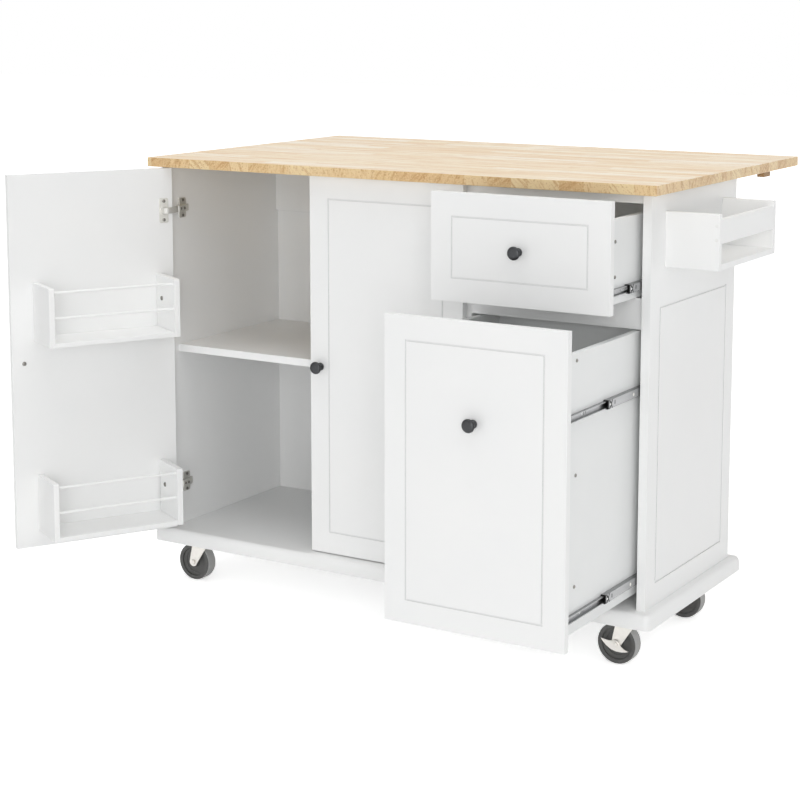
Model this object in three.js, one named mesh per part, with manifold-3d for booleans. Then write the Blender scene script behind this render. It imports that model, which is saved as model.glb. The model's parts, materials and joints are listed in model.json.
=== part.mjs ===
// Drop leaf kitchen island on casters: two-door cupboard, small drawer, tall bin drawer, door racks,
// spice rack, and a rear leaf carried by two swinging supports. Millimetres, +Z up, front faces -Y.
// Before the last step X = 0 is the middle of the worktop, Y = 0 its front edge and Z = 0 the floor.
import * as THREE from 'three';
import { mergeVertices } from 'three/addons/utils/BufferGeometryUtils.js';
import Module from 'manifold-3d';

// ---- driving dimensions -------------------------------------------------------------------------
const WORKTOP_WIDTH = 1200;
const WORKTOP_DEPTH = 478;
const WORKTOP_TOP = 955;
const WORKTOP_THICKNESS = 20;
const LEAF_DEPTH = 276;
const LEAF_SEAM = 2;

const BASE_BOTTOM = 99;
const BASE_THICKNESS = 30;
const BASE_EDGE_HEIGHT = 15;
const BASE_EDGE_INSET = 10;
const BASE_CORNER_RADIUS = 4;

const CABINET_INSET_SIDE = 20;
const CABINET_INSET_FRONT = 26.5;
const CABINET_INSET_REAR = 28;
const PANEL_THICKNESS = 18;
const DIVIDER_THICKNESS = 16;
const DIVIDER_RIGHT_FACE = 185;
const BACK_THICKNESS = 6;
const BACK_RECESS = 8;
const BACK_RAIL_HEIGHT = 134;
const BACK_RAIL_THICKNESS = 8;
const SHELF_TOP = 538;
const SHELF_THICKNESS = 16;
const SHELF_SETBACK = 8.5;

const FRONT_THICKNESS = 15;
const FRONT_GAP = 2.5;
const DOOR_HINGE_GAP = 0.5;
const BUMPER_GAP = 2;
const DRAWER_SPLIT = 720.5;
const GROOVE_INSET = 45;
const GROOVE_WIDTH = 3;
const GROOVE_DEPTH = 1.5;
const SIDE_GROOVE_TOP_MARGIN = 218;

const LEFT_DOOR_OPEN = THREE.MathUtils.degToRad(119.5);
const SMALL_DRAWER_OPEN = 134;
const BIN_DRAWER_OPEN = 303;

const KNOB_RADIUS = 13;
const KNOB_BASE_RADIUS = 8;
const KNOB_NECK_RADIUS = 5.5;
const KNOB_LENGTH = 24;
const KNOB_EDGE_DISTANCE = 25;
const KNOB_HEIGHT = 532;
const SEAT_GAP = 0.3;

const HINGE_FROM_DOOR_END = 92;
const HINGE_CUP_WIDTH = 23;
const HINGE_CUP_HEIGHT = 62;
const HINGE_CUP_THICKNESS = 1.5;
const HINGE_CUP_EDGE = 9;
const HINGE_ARM_LENGTH = 52;
const HINGE_ARM_WIDTH = 14;
const HINGE_ARM_DEPTH = 10;
const HINGE_PLATE_HEIGHT = 48;
const HINGE_PLATE_WIDTH = 25;
const HINGE_PLATE_THICKNESS = 3;

const RACK_WIDTH = 290;
const RACK_DEPTH = 104;
const RACK_HEIGHT = 124;
const RACK_FREE_EDGE_DISTANCE = 48.5;
const RACK_NOTCH_CLEARANCE = 1;
const RACK_BOARD = 12;
const RACK_FLOOR = 9;
const RACK_ROD_RADIUS = 3;
const RACK_ROD_INSET = 12;
const RACK_ROD_HEIGHTS = [59, 113];
const RACK_UPPER_BOTTOM = 580;
const RACK_LOWER_BOTTOM = 166;

const SLIDE_BACK_CLEARANCE = 5.5;
const SLIDE_SPACE = 12.5;
const SLIDE_OUTER_HEIGHT = 27;
const SLIDE_OUTER_DEPTH = 9.5;
const SLIDE_STEEL = 1.5;
const SLIDE_MIDDLE_HEIGHT = 17;
const SLIDE_RUNNING_GAP = 0.5;
const SLIDE_SETBACK = 2;
const SMALL_SLIDE_RAISE = 23.5;
const BIN_UPPER_SLIDE_DROP = 114;
const BIN_LOWER_SLIDE_RAISE = 32;

const BOX_BOARD = 12;
const BOX_BACK_CLEARANCE = 4.5;
const BOX_BOTTOM_THICKNESS = 5;
const BOX_BOTTOM_RAISE = 9;
const SMALL_BOX_RAISE = 16.25;
const DRAWER_RAIL_THICKNESS = 15;
const DRAWER_RAIL_CLEARANCE = 3;
const SMALL_BOX_TOP_DROP = 36.5;
const BIN_BOX_RAISE = 23.5;
const BIN_BOX_TOP_DROP = 47.75;

const SUPPORT_LENGTH = 235.5;
const SUPPORT_HEIGHT = 60;
const SUPPORT_THICKNESS = 16;
const SUPPORT_TIP_LENGTH = 43;
const SUPPORT_TOP_GAP = 16;
const SUPPORT_HINGE_GAP = 0.5;
const LEAF_REST_GAP = 0.5;
const LEAF_BLOCK_LENGTH = 36;
const LEAF_BLOCK_WIDTH = 16;
const LEAF_BLOCK_CLEARANCE = 1.5;

const LEAF_HINGE_LENGTH = 600;
const LEAF_HINGE_PLATE_WIDTH = 24;
const LEAF_HINGE_PLATE_THICKNESS = 1.5;
const LEAF_HINGE_KNUCKLES = 5;
const LEAF_HINGE_KNUCKLE_RADIUS = 3;
const LEAF_HINGE_PIN_RADIUS = 1.3;
const LEAF_HINGE_CLEARANCE = 0.3;

const SPICE_RACK_START = 89.5;
const SPICE_RACK_LENGTH = 294.5;
const SPICE_RACK_PROJECTION = 110;
const SPICE_RACK_TOP_DROP = 37;
const SPICE_RACK_HEIGHT = 107;
const SPICE_RACK_BOARD = 12;
const SPICE_RAIL_TOP_DROP = 10.5;
const SPICE_RAIL_HEIGHT = 46;

const CASTER_INSET_X = 79;
const CASTER_INSET_Y = 75;
const CASTER_TRAIL = 16;
const WHEEL_RADIUS = 41.5;
const WHEEL_WIDTH = 26;
const WHEEL_RIM = 7;
const WHEEL_DISH = 4;
const WHEEL_HUB_RADIUS = 12;
const WHEEL_SIDE_GAP = 1.2;
const WHEEL_SEGMENTS = 32;
const AXLE_RADIUS = 4;
const AXLE_CLEARANCE = 0.4;
const FORK_STEEL = 2;
const FORK_HALF_WIDTH = 18.5;
const FORK_FOOT_RADIUS = 10;
const FORK_TOP = 89;
const FORK_COLLAR_RADIUS = 16;
const SWIVEL_GAP = 0.5;
const STEM_RADIUS = 5.5;
const STEM_LENGTH = 22;
const STEM_CLEARANCE = 0.4;
const BRAKE_STEEL = 2;
const BRAKE_TOE_REACH = 32;
const BRAKE_TOE_RISE = 8.5;
const BRAKE_HEEL_REACH = 28.5;
const BRAKE_HEEL_DROP = 10.5;
const BRAKE_BELLY = 14.5;
const BRAKE_BOSS_RADIUS = 9;
const ROUND_SEGMENTS = 16;

// ---- derived planes -----------------------------------------------------------------------------
const halfWidth = WORKTOP_WIDTH / 2;
const worktopUnderside = WORKTOP_TOP - WORKTOP_THICKNESS;
const baseTop = BASE_BOTTOM + BASE_THICKNESS;
const sideOuter = halfWidth - CABINET_INSET_SIDE;
const sideInner = sideOuter - PANEL_THICKNESS;
const cabinetFront = CABINET_INSET_FRONT;
const cabinetRear = WORKTOP_DEPTH - CABINET_INSET_REAR;
const innerFront = cabinetFront + FRONT_THICKNESS + BUMPER_GAP;
const backRear = cabinetRear - BACK_RECESS;
const backFront = backRear - BACK_THICKNESS;
const dividerLeftFace = DIVIDER_RIGHT_FACE - DIVIDER_THICKNESS;
const dividerMiddle = (DIVIDER_RIGHT_FACE + dividerLeftFace) / 2;
const frontBottom = baseTop + FRONT_GAP;
const frontTop = worktopUnderside - FRONT_GAP;
const smallFrontBottom = DRAWER_SPLIT + FRONT_GAP / 2;
const binFrontTop = DRAWER_SPLIT - FRONT_GAP / 2;
const smallBoxBottom = smallFrontBottom + SMALL_BOX_RAISE;
const smallBoxTop = frontTop - SMALL_BOX_TOP_DROP;
const binBoxBottom = frontBottom + BIN_BOX_RAISE;
const binBoxTop = binFrontTop - BIN_BOX_TOP_DROP;
const doorLeftEdge = -sideInner + DOOR_HINGE_GAP;
const doorRightEdge = dividerMiddle - FRONT_GAP;
const doorWidth = (doorRightEdge - doorLeftEdge - FRONT_GAP) / 2;
const drawerLeft = dividerMiddle + FRONT_GAP;
const drawerRight = sideInner - FRONT_GAP;
const seamY = WORKTOP_DEPTH + LEAF_SEAM / 2;
const worktopRear = WORKTOP_DEPTH + LEAF_SEAM + LEAF_DEPTH;

// ---- materials ----------------------------------------------------------------------------------
const paint = (color, roughness, metalness = 0) => {
  return new THREE.MeshStandardMaterial({ color, roughness, metalness });
};
const whiteLacquer = paint('#eceeed', 0.35);
const boxWhite = paint('#e3e4e3', 0.45);
const rubberwood = paint('#e2bd8a', 0.5);
const plainWood = paint('#c79f6c', 0.6);
const blackMetal = paint('#232325', 0.35, 0.9);
const slideSteel = paint('#8d9092', 0.35, 0.9);
const hingeNickel = paint('#a9a9a4', 0.3, 0.9);
const forkZinc = paint('#d8d8d3', 0.35, 0.8);
const wheelGrey = paint('#4a4a4a', 0.6);

// ---- shape tools --------------------------------------------------------------------------------
const wasm = await Module();
wasm.setup();

// A closed triangle mesh as a solid whose shared corners are merged.
function toSolid(geometry) {
  const bare = geometry.clone();
  bare.deleteAttribute('normal');
  bare.deleteAttribute('uv');
  const merged = mergeVertices(bare, 1e-4);
  return new wasm.Manifold(new wasm.Mesh({
    numProp: 3,
    vertProperties: new Float32Array(merged.attributes.position.array),
    triVerts: new Uint32Array(merged.index.array),
  }));
}

function toGeometry(solid) {
  const mesh = solid.getMesh();
  const geometry = new THREE.BufferGeometry();
  geometry.setAttribute('position', new THREE.BufferAttribute(mesh.vertProperties, 3));
  geometry.setIndex(new THREE.BufferAttribute(mesh.triVerts, 1));
  geometry.computeVertexNormals();
  return geometry;
}

const join = (...pieces) => toGeometry(pieces.map(toSolid).reduce((a, b) => a.add(b)));
const cut = (body, ...tools) => toGeometry(tools.map(toSolid).reduce((a, b) => a.subtract(b), toSolid(body)));

// A box given by its low and high corner planes.
function slab(x0, x1, y0, y1, z0, z1) {
  const geometry = new THREE.BoxGeometry(x1 - x0, y1 - y0, z1 - z0);
  return geometry.translate((x0 + x1) / 2, (y0 + y1) / 2, (z0 + z1) / 2);
}

// A rectangle outline, as a path for shapes and for holes.
function rectangle(path, x0, x1, y0, y1) {
  path.moveTo(x0, y0);
  path.lineTo(x1, y0);
  path.lineTo(x1, y1);
  path.lineTo(x0, y1);
  path.closePath();
  return path;
}

function extrude(shape, depth, curveSegments = ROUND_SEGMENTS / 4) {
  return new THREE.ExtrudeGeometry(shape, { depth, bevelEnabled: false, curveSegments });
}

// A shape drawn in X and Z, extruded from y0 to y1.
function extrudeAlongY(shape, y0, y1, curveSegments) {
  const geometry = extrude(shape, y1 - y0, curveSegments);
  return geometry.rotateX(Math.PI / 2).translate(0, y1, 0);
}

// A shape drawn in Y and Z, extruded from x0 to x1.
function extrudeAlongX(shape, x0, x1, curveSegments) {
  const geometry = extrude(shape, x1 - x0, curveSegments);
  return geometry.rotateX(Math.PI / 2).rotateZ(Math.PI / 2).translate(x0, 0, 0);
}

// A round bar along Z from z0 to z1.
function roundBar(radius, z0, z1, x = 0, y = 0, segments = ROUND_SEGMENTS) {
  const geometry = new THREE.CylinderGeometry(radius, radius, z1 - z0, segments);
  return geometry.rotateX(Math.PI / 2).translate(x, y, (z0 + z1) / 2);
}

// A round bar along Y from y0 to y1.
function roundBarY(radius, y0, y1, x, z, segments = ROUND_SEGMENTS) {
  const geometry = new THREE.CylinderGeometry(radius, radius, y1 - y0, segments);
  return geometry.translate(x, (y0 + y1) / 2, z);
}

// A round bar along X from x0 to x1.
function roundBarX(radius, x0, x1, y, z, segments = ROUND_SEGMENTS) {
  const geometry = new THREE.CylinderGeometry(radius, radius, x1 - x0, segments);
  return geometry.rotateZ(Math.PI / 2).translate((x0 + x1) / 2, y, z);
}

// The shallow rectangular groove that frames each front, as the ring of material that is cut away.
function grooveRing(x0, x1, z0, z1, depth) {
  const shape = rectangle(new THREE.Shape(), x0, x1, z0, z1);
  const w = GROOVE_WIDTH;
  shape.holes.push(rectangle(new THREE.Path(), x0 + w, x1 - w, z0 + w, z1 - w));
  return extrude(shape, depth);
}

const island = new THREE.Group();

function addMesh(name, geometry, material, parent = island) {
  const mesh = new THREE.Mesh(geometry, material);
  mesh.name = name;
  parent.add(mesh);
  return mesh;
}

// ---- worktop and drop leaf ----------------------------------------------------------------------
addMesh('tabletop_main',
  slab(-halfWidth, halfWidth, 0, WORKTOP_DEPTH, worktopUnderside, WORKTOP_TOP), rubberwood);
addMesh('drop_leaf',
  slab(-halfWidth, halfWidth, WORKTOP_DEPTH + LEAF_SEAM, worktopRear, worktopUnderside, WORKTOP_TOP),
  rubberwood);

// Piano hinge under the seam: its pin lies below the boards' undersides, so the leaf hangs clear.
function leafHinge() {
  const pinZ = worktopUnderside - LEAF_HINGE_KNUCKLE_RADIUS;
  const plateBottom = worktopUnderside - LEAF_HINGE_PLATE_THICKNESS;
  const halfLength = LEAF_HINGE_LENGTH / 2;
  const knuckle = LEAF_HINGE_LENGTH / LEAF_HINGE_KNUCKLES;
  const bore = LEAF_HINGE_PIN_RADIUS + LEAF_HINGE_CLEARANCE;
  const reach = LEAF_HINGE_KNUCKLE_RADIUS + LEAF_HINGE_CLEARANCE;
  const plate = (side) => {
    const near = seamY + side * LEAF_SEAM / 2;
    const far = seamY + side * LEAF_HINGE_PLATE_WIDTH;
    return slab(-halfLength, halfLength, Math.min(near, far), Math.max(near, far),
      plateBottom, worktopUnderside);
  };
  const fixed = [plate(-1)];
  const moving = [plate(1)];
  const fixedRelief = [];
  const movingRelief = [];
  for (let i = 0; i < LEAF_HINGE_KNUCKLES; i += 1) {
    const x0 = -halfLength + i * knuckle;
    const x1 = x0 + knuckle;
    const own = i % 2 === 0 ? fixed : moving;
    const reliefs = i % 2 === 0 ? movingRelief : fixedRelief;
    const from = i === 0 ? x0 : x0 + LEAF_HINGE_CLEARANCE;
    const to = i === LEAF_HINGE_KNUCKLES - 1 ? x1 : x1 - LEAF_HINGE_CLEARANCE;
    own.push(roundBarX(LEAF_HINGE_KNUCKLE_RADIUS, from, to, seamY, pinZ));
    reliefs.push(slab(x0 - LEAF_HINGE_CLEARANCE, x1 + LEAF_HINGE_CLEARANCE,
      seamY - reach, seamY + reach, pinZ - reach, worktopUnderside + 1));
  }
  const pin = roundBarX(LEAF_HINGE_PIN_RADIUS, -halfLength, halfLength, seamY, pinZ);
  const pinHole = roundBarX(bore, -halfLength - 1, halfLength + 1, seamY, pinZ);
  const skim = slab(-halfLength - 1, halfLength + 1, seamY - reach, seamY + reach,
    worktopUnderside, worktopUnderside + LEAF_HINGE_KNUCKLE_RADIUS);
  addMesh('leaf_hinge_fixed', join(cut(join(...fixed), ...fixedRelief, skim), pin), hingeNickel);
  addMesh('leaf_hinge_moving', cut(join(...moving), ...movingRelief, pinHole, skim), hingeNickel);
}
leafHinge();

// Swinging leaf supports, shown folded flat behind the cabinet: a board with a raised tip that the
// leaf rests on. Each swings out a quarter turn about its outer rear corner. A wooden block under the
// leaf then sits in the notch, just inside the tip.
const supportNear = cabinetRear + SUPPORT_HINGE_GAP;
const supportShoulder = worktopUnderside - SUPPORT_TOP_GAP;
const supportTop = worktopUnderside - LEAF_REST_GAP;
for (const [side, name] of [[-1, 'left'], [1, 'right']]) {
  const axisX = side * (sideOuter - SUPPORT_THICKNESS);
  const along = (distance) => axisX - side * distance;
  const outline = new THREE.Shape();
  outline.moveTo(axisX, supportShoulder - SUPPORT_HEIGHT);
  outline.lineTo(along(SUPPORT_LENGTH), supportShoulder - SUPPORT_HEIGHT);
  outline.lineTo(along(SUPPORT_LENGTH), supportTop);
  outline.lineTo(along(SUPPORT_LENGTH - SUPPORT_TIP_LENGTH), supportTop);
  outline.lineTo(along(SUPPORT_LENGTH - SUPPORT_TIP_LENGTH), supportShoulder);
  outline.lineTo(axisX, supportShoulder);
  outline.closePath();
  addMesh(`leaf_support_${name}`,
    extrudeAlongY(outline, supportNear, supportNear + SUPPORT_THICKNESS), whiteLacquer);
  const blockFar = supportNear + SUPPORT_LENGTH - SUPPORT_TIP_LENGTH - LEAF_BLOCK_CLEARANCE;
  const outer = side * sideOuter;
  const blockInner = side * (sideOuter - LEAF_BLOCK_WIDTH);
  addMesh(`leaf_block_${name}`,
    slab(Math.min(outer, blockInner), Math.max(outer, blockInner), blockFar - LEAF_BLOCK_LENGTH, blockFar,
      supportShoulder + LEAF_BLOCK_CLEARANCE, worktopUnderside), plainWood);
}

// ---- base on four casters -----------------------------------------------------------------------
const casterX = halfWidth - CASTER_INSET_X;
const casterFront = CASTER_INSET_Y;
const casterRear = WORKTOP_DEPTH - CASTER_INSET_Y;
const casterPlaces = [
  ['front_left', -casterX, casterFront, false],
  ['front_right', casterX, casterFront, true],
  ['rear_left', -casterX, casterRear, true],
  ['rear_right', casterX, casterRear, false],
];

// The base board: straight lower edge, then a wide rounded shoulder up to the flat top.
function baseBoard() {
  const w = halfWidth - BASE_EDGE_INSET;
  const y0 = BASE_EDGE_INSET;
  const y1 = WORKTOP_DEPTH - BASE_EDGE_INSET;
  const r = BASE_CORNER_RADIUS;
  const outline = new THREE.Shape();
  outline.moveTo(-w + r, y0);
  outline.lineTo(w - r, y0);
  outline.absarc(w - r, y0 + r, r, -Math.PI / 2, 0);
  outline.lineTo(w, y1 - r);
  outline.absarc(w - r, y1 - r, r, 0, Math.PI / 2);
  outline.lineTo(-w + r, y1);
  outline.absarc(-w + r, y1 - r, r, Math.PI / 2, Math.PI);
  outline.lineTo(-w, y0 + r);
  outline.absarc(-w + r, y0 + r, r, Math.PI, 1.5 * Math.PI);
  const board = new THREE.ExtrudeGeometry(outline, {
    depth: 2 * (BASE_THICKNESS - BASE_EDGE_HEIGHT),
    bevelThickness: BASE_EDGE_HEIGHT,
    bevelSize: BASE_EDGE_INSET,
    bevelSegments: 4,
    curveSegments: 3,
  });
  board.translate(0, 0, BASE_BOTTOM - (BASE_THICKNESS - BASE_EDGE_HEIGHT));
  const below = slab(-2 * w, 2 * w, -WORKTOP_DEPTH, 2 * WORKTOP_DEPTH, BASE_BOTTOM - BASE_THICKNESS,
    BASE_BOTTOM);
  const sockets = casterPlaces.map(([, x, y]) => {
    return roundBar(STEM_RADIUS + STEM_CLEARANCE, BASE_BOTTOM - 1,
      BASE_BOTTOM + STEM_LENGTH + STEM_CLEARANCE, x, y);
  });
  return cut(board, below, ...sockets);
}
addMesh('base_board', baseBoard(), whiteLacquer);

// ---- cabinet carcass ----------------------------------------------------------------------------
for (const [side, name] of [[-1, 'left'], [1, 'right']]) {
  const outer = side * sideOuter;
  const inner = side * sideInner;
  const panel = slab(Math.min(outer, inner), Math.max(outer, inner), cabinetFront, cabinetRear,
    baseTop, worktopUnderside);
  const ring = grooveRing(cabinetFront + GROOVE_INSET, cabinetRear - GROOVE_INSET,
    baseTop + GROOVE_INSET, worktopUnderside - SIDE_GROOVE_TOP_MARGIN, 2 * GROOVE_DEPTH);
  ring.rotateX(Math.PI / 2).rotateZ(Math.PI / 2).translate(outer - GROOVE_DEPTH, 0, 0);
  addMesh(`side_panel_${name}`, cut(panel, ring), whiteLacquer);
}
addMesh('divider_panel',
  slab(dividerLeftFace, DIVIDER_RIGHT_FACE, innerFront, backFront, baseTop, worktopUnderside), whiteLacquer);

// The cross rail between the drawers, from the divider to the right side panel. It stands behind the
// two fronts, above the bin drawer's box and below the small drawer's.
addMesh('drawer_rail', slab(DIVIDER_RIGHT_FACE, sideInner, innerFront, innerFront + DRAWER_RAIL_THICKNESS,
  binBoxTop + DRAWER_RAIL_CLEARANCE, smallBoxBottom - DRAWER_RAIL_CLEARANCE), whiteLacquer);

// The back: a thin panel, with a rail glued across its top behind the cupboard.
const backPanel = slab(-sideInner, sideInner, backFront, backRear, baseTop, worktopUnderside);
const backRailBottom = worktopUnderside - BACK_RAIL_HEIGHT;
const backRail = slab(-sideInner, dividerLeftFace, backFront - BACK_RAIL_THICKNESS, backFront,
  backRailBottom, worktopUnderside);
addMesh('back_panel', join(backPanel, backRail), whiteLacquer);

const shelfFront = innerFront + SHELF_SETBACK;
addMesh('shelf_board',
  slab(-sideInner, dividerLeftFace, shelfFront, backFront, SHELF_TOP - SHELF_THICKNESS, SHELF_TOP),
  whiteLacquer);

// ---- knobs --------------------------------------------------------------------------------------
// A mushroom knob standing on the plane y = 0 and facing -Y.
function knobGeometry() {
  const profile = [
    [0, 0],
    [KNOB_BASE_RADIUS, 0],
    [KNOB_BASE_RADIUS, 2.5],
    [KNOB_NECK_RADIUS, 6],
    [KNOB_NECK_RADIUS, KNOB_LENGTH - 12],
    [KNOB_RADIUS, KNOB_LENGTH - 7],
    [KNOB_RADIUS, KNOB_LENGTH - 3],
    [KNOB_RADIUS - 3, KNOB_LENGTH - 0.8],
    [0, KNOB_LENGTH],
  ];
  const points = profile.map(([radius, height]) => new THREE.Vector2(radius, height));
  return new THREE.LatheGeometry(points, 20).rotateX(Math.PI);
}

function addKnob(name, x, z, parent, faceY) {
  const knob = addMesh(name, knobGeometry(), blackMetal, parent);
  knob.position.set(x, faceY - SEAT_GAP, z);
}

// ---- doors --------------------------------------------------------------------------------------
// A front board from y = 0 to its thickness, with the groove cut into its face at y = 0.
function frontBoard(x0, x1, z0, z1) {
  const board = slab(x0, x1, 0, FRONT_THICKNESS, z0, z1);
  const ring = grooveRing(x0 + GROOVE_INSET, x1 - GROOVE_INSET, z0 + GROOVE_INSET, z1 - GROOVE_INSET,
    2 * GROOVE_DEPTH);
  ring.rotateX(Math.PI / 2).translate(0, GROOVE_DEPTH, 0);
  return cut(board, ring);
}

const hingeHeights = [['upper', frontTop - HINGE_FROM_DOOR_END], ['lower', frontBottom + HINGE_FROM_DOOR_END]];
const hingeArmFront = cabinetFront + FRONT_THICKNESS + HINGE_CUP_THICKNESS + 2 * SEAT_GAP;

// Each door turns about its outer corner, next to the panel that carries it. reach is +1 where the
// door lies to the +X side of that corner and -1 where it lies to the -X side.
function addDoor(name, cornerX, reach, panelFaceX, angle) {
  const door = new THREE.Group();
  door.position.set(cornerX, cabinetFront, 0);
  door.rotation.z = angle;
  island.add(door);
  const far = reach * doorWidth;
  addMesh(`door_${name}`, frontBoard(Math.min(0, far), Math.max(0, far), frontBottom, frontTop),
    whiteLacquer, door);
  addKnob(`door_${name}_knob`, reach * (doorWidth - KNOB_EDGE_DISTANCE), KNOB_HEIGHT, door, 0);
  for (const [level, height] of hingeHeights) {
    const cup = new THREE.BoxGeometry(HINGE_CUP_WIDTH, HINGE_CUP_THICKNESS, HINGE_CUP_HEIGHT);
    cup.translate(reach * (HINGE_CUP_EDGE + HINGE_CUP_WIDTH / 2),
      FRONT_THICKNESS + SEAT_GAP + HINGE_CUP_THICKNESS / 2, height);
    addMesh(`hinge_cup_${name}_${level}`, cup, hingeNickel, door);
    addHingeArm(`hinge_arm_${name}_${level}`, panelFaceX, reach, height);
  }
  return door;
}

// The hinge's arm and mounting plate, fastened to the panel's inner face.
function addHingeArm(name, panelFaceX, reach, height) {
  const plateY0 = hingeArmFront + HINGE_ARM_LENGTH - HINGE_PLATE_WIDTH - HINGE_ARM_WIDTH;
  const across = (depth0, depth1) => {
    const a = panelFaceX + reach * depth0;
    const b = panelFaceX + reach * depth1;
    return [Math.min(a, b), Math.max(a, b)];
  };
  const plate = slab(...across(0, HINGE_PLATE_THICKNESS), plateY0, plateY0 + HINGE_PLATE_WIDTH,
    height - HINGE_PLATE_HEIGHT / 2, height + HINGE_PLATE_HEIGHT / 2);
  const arm = slab(...across(HINGE_PLATE_THICKNESS / 2, HINGE_PLATE_THICKNESS + HINGE_ARM_DEPTH),
    hingeArmFront, hingeArmFront + HINGE_ARM_LENGTH, height - HINGE_ARM_WIDTH / 2,
    height + HINGE_ARM_WIDTH / 2);
  addMesh(name, join(plate, arm), hingeNickel);
}

const leftDoor = addDoor('left', doorLeftEdge, 1, -sideInner, -LEFT_DOOR_OPEN);
addDoor('right', doorRightEdge, -1, dividerLeftFace, 0);

// A rack on the left door's inner face: floor and two ends in board, with two rods across its front.
// The end by the hinges is notched over any hinge cup plate that it would meet.
function doorRack(bottom) {
  const x1 = doorWidth - RACK_FREE_EDGE_DISTANCE;
  const x0 = x1 - RACK_WIDTH;
  const y0 = FRONT_THICKNESS + SEAT_GAP;
  const y1 = y0 + RACK_DEPTH;
  const ends = [x0, x1 - RACK_BOARD].map((x) => slab(x, x + RACK_BOARD, y0, y1, bottom, bottom + RACK_HEIGHT));
  const floor = slab(x0, x1, y0, y1, bottom, bottom + RACK_FLOOR);
  const rods = RACK_ROD_HEIGHTS.map((height) => roundBarX(RACK_ROD_RADIUS,
    x0 + RACK_BOARD / 2, x1 - RACK_BOARD / 2, y1 - RACK_ROD_INSET, bottom + height, ROUND_SEGMENTS / 2));
  const notches = hingeHeights.map(([, height]) => {
    const halfNotch = HINGE_CUP_HEIGHT / 2 + RACK_NOTCH_CLEARANCE;
    return slab(x0 - 1, HINGE_CUP_EDGE + HINGE_CUP_WIDTH + RACK_NOTCH_CLEARANCE, 0,
      y0 + HINGE_CUP_THICKNESS + RACK_NOTCH_CLEARANCE, height - halfNotch, height + halfNotch);
  });
  return cut(join(...ends, floor, ...rods), ...notches);
}
addMesh('door_rack_upper', doorRack(RACK_UPPER_BOTTOM), whiteLacquer, leftDoor);
addMesh('door_rack_lower', doorRack(RACK_LOWER_BOTTOM), whiteLacquer, leftDoor);

// ---- drawers ------------------------------------------------------------------------------------
const boxLeft = DIVIDER_RIGHT_FACE + SLIDE_SPACE;
const boxRight = sideInner - SLIDE_SPACE;
const boxLength = backFront - BOX_BACK_CLEARANCE - cabinetFront - FRONT_THICKNESS;

function addDrawer(name, z0, z1, boxBottom, boxTop, knobHeight, opening) {
  const drawer = new THREE.Group();
  drawer.position.y = cabinetFront - opening;
  island.add(drawer);
  addMesh(`${name}_front`, frontBoard(drawerLeft, drawerRight, z0, z1), whiteLacquer, drawer);
  addKnob(`${name}_knob`, (drawerLeft + drawerRight) / 2, knobHeight, drawer, 0);
  const boxFront = FRONT_THICKNESS;
  const boxBack = FRONT_THICKNESS + boxLength;
  const walls = new THREE.Shape();
  walls.moveTo(boxLeft, boxFront);
  walls.lineTo(boxLeft + BOX_BOARD, boxFront);
  walls.lineTo(boxLeft + BOX_BOARD, boxBack - BOX_BOARD);
  walls.lineTo(boxRight - BOX_BOARD, boxBack - BOX_BOARD);
  walls.lineTo(boxRight - BOX_BOARD, boxFront);
  walls.lineTo(boxRight, boxFront);
  walls.lineTo(boxRight, boxBack);
  walls.lineTo(boxLeft, boxBack);
  walls.closePath();
  addMesh(`${name}_box`, extrude(walls, boxTop - boxBottom).translate(0, 0, boxBottom), boxWhite, drawer);
  addMesh(`${name}_bottom`, slab(boxLeft + BOX_BOARD, boxRight - BOX_BOARD, boxFront, boxBack - BOX_BOARD,
    boxBottom + BOX_BOTTOM_RAISE, boxBottom + BOX_BOTTOM_RAISE + BOX_BOTTOM_THICKNESS), boxWhite, drawer);
}
addDrawer('small_drawer', smallFrontBottom, frontTop, smallBoxBottom, smallBoxTop,
  (smallFrontBottom + frontTop) / 2, SMALL_DRAWER_OPEN);
addDrawer('bin_drawer', frontBottom, binFrontTop, binBoxBottom, binBoxTop,
  KNOB_HEIGHT, BIN_DRAWER_OPEN);

// ---- drawer slides ------------------------------------------------------------------------------
const slideFront = innerFront + SLIDE_SETBACK;
const slideLength = backFront - SLIDE_BACK_CLEARANCE - slideFront;
const middleWeb = SLIDE_STEEL + SLIDE_RUNNING_GAP;
const middleDepth = SLIDE_SPACE - middleWeb - SEAT_GAP;

// A steel C section open towards the drawer, its web on the plane x = 0, length along Y.
function channel(height, depth) {
  const t = SLIDE_STEEL;
  const half = height / 2;
  const outline = new THREE.Shape();
  outline.moveTo(0, -half);
  outline.lineTo(depth, -half);
  outline.lineTo(depth, -half + t);
  outline.lineTo(t, -half + t);
  outline.lineTo(t, half - t);
  outline.lineTo(depth, half - t);
  outline.lineTo(depth, half);
  outline.lineTo(0, half);
  outline.closePath();
  return extrudeAlongY(outline, 0, slideLength);
}

// The cabinet member is screwed to the panel. The middle member runs inside it and reaches the
// drawer's side, moving half as far as the drawer.
function addSlide(name, height, opening) {
  for (const [side, panelFace, facing] of [['left', DIVIDER_RIGHT_FACE, 1], ['right', sideInner, -1]]) {
    const members = [
      ['cabinet', channel(SLIDE_OUTER_HEIGHT, SLIDE_OUTER_DEPTH), 0, 0],
      ['middle', channel(SLIDE_MIDDLE_HEIGHT, middleDepth), middleWeb, opening / 2],
    ];
    for (const [member, geometry, standoff, travel] of members) {
      if (facing < 0) {
        geometry.rotateZ(Math.PI).translate(0, slideLength, 0);
      }
      const slide = addMesh(`${name}_slide_${side}_${member}`, geometry, slideSteel);
      slide.position.set(panelFace + facing * standoff, slideFront - travel, height);
    }
  }
}
addSlide('small', smallBoxBottom + SMALL_SLIDE_RAISE, SMALL_DRAWER_OPEN);
addSlide('bin_upper', binBoxTop - BIN_UPPER_SLIDE_DROP, BIN_DRAWER_OPEN);
addSlide('bin_lower', binBoxBottom + BIN_LOWER_SLIDE_RAISE, BIN_DRAWER_OPEN);

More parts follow.
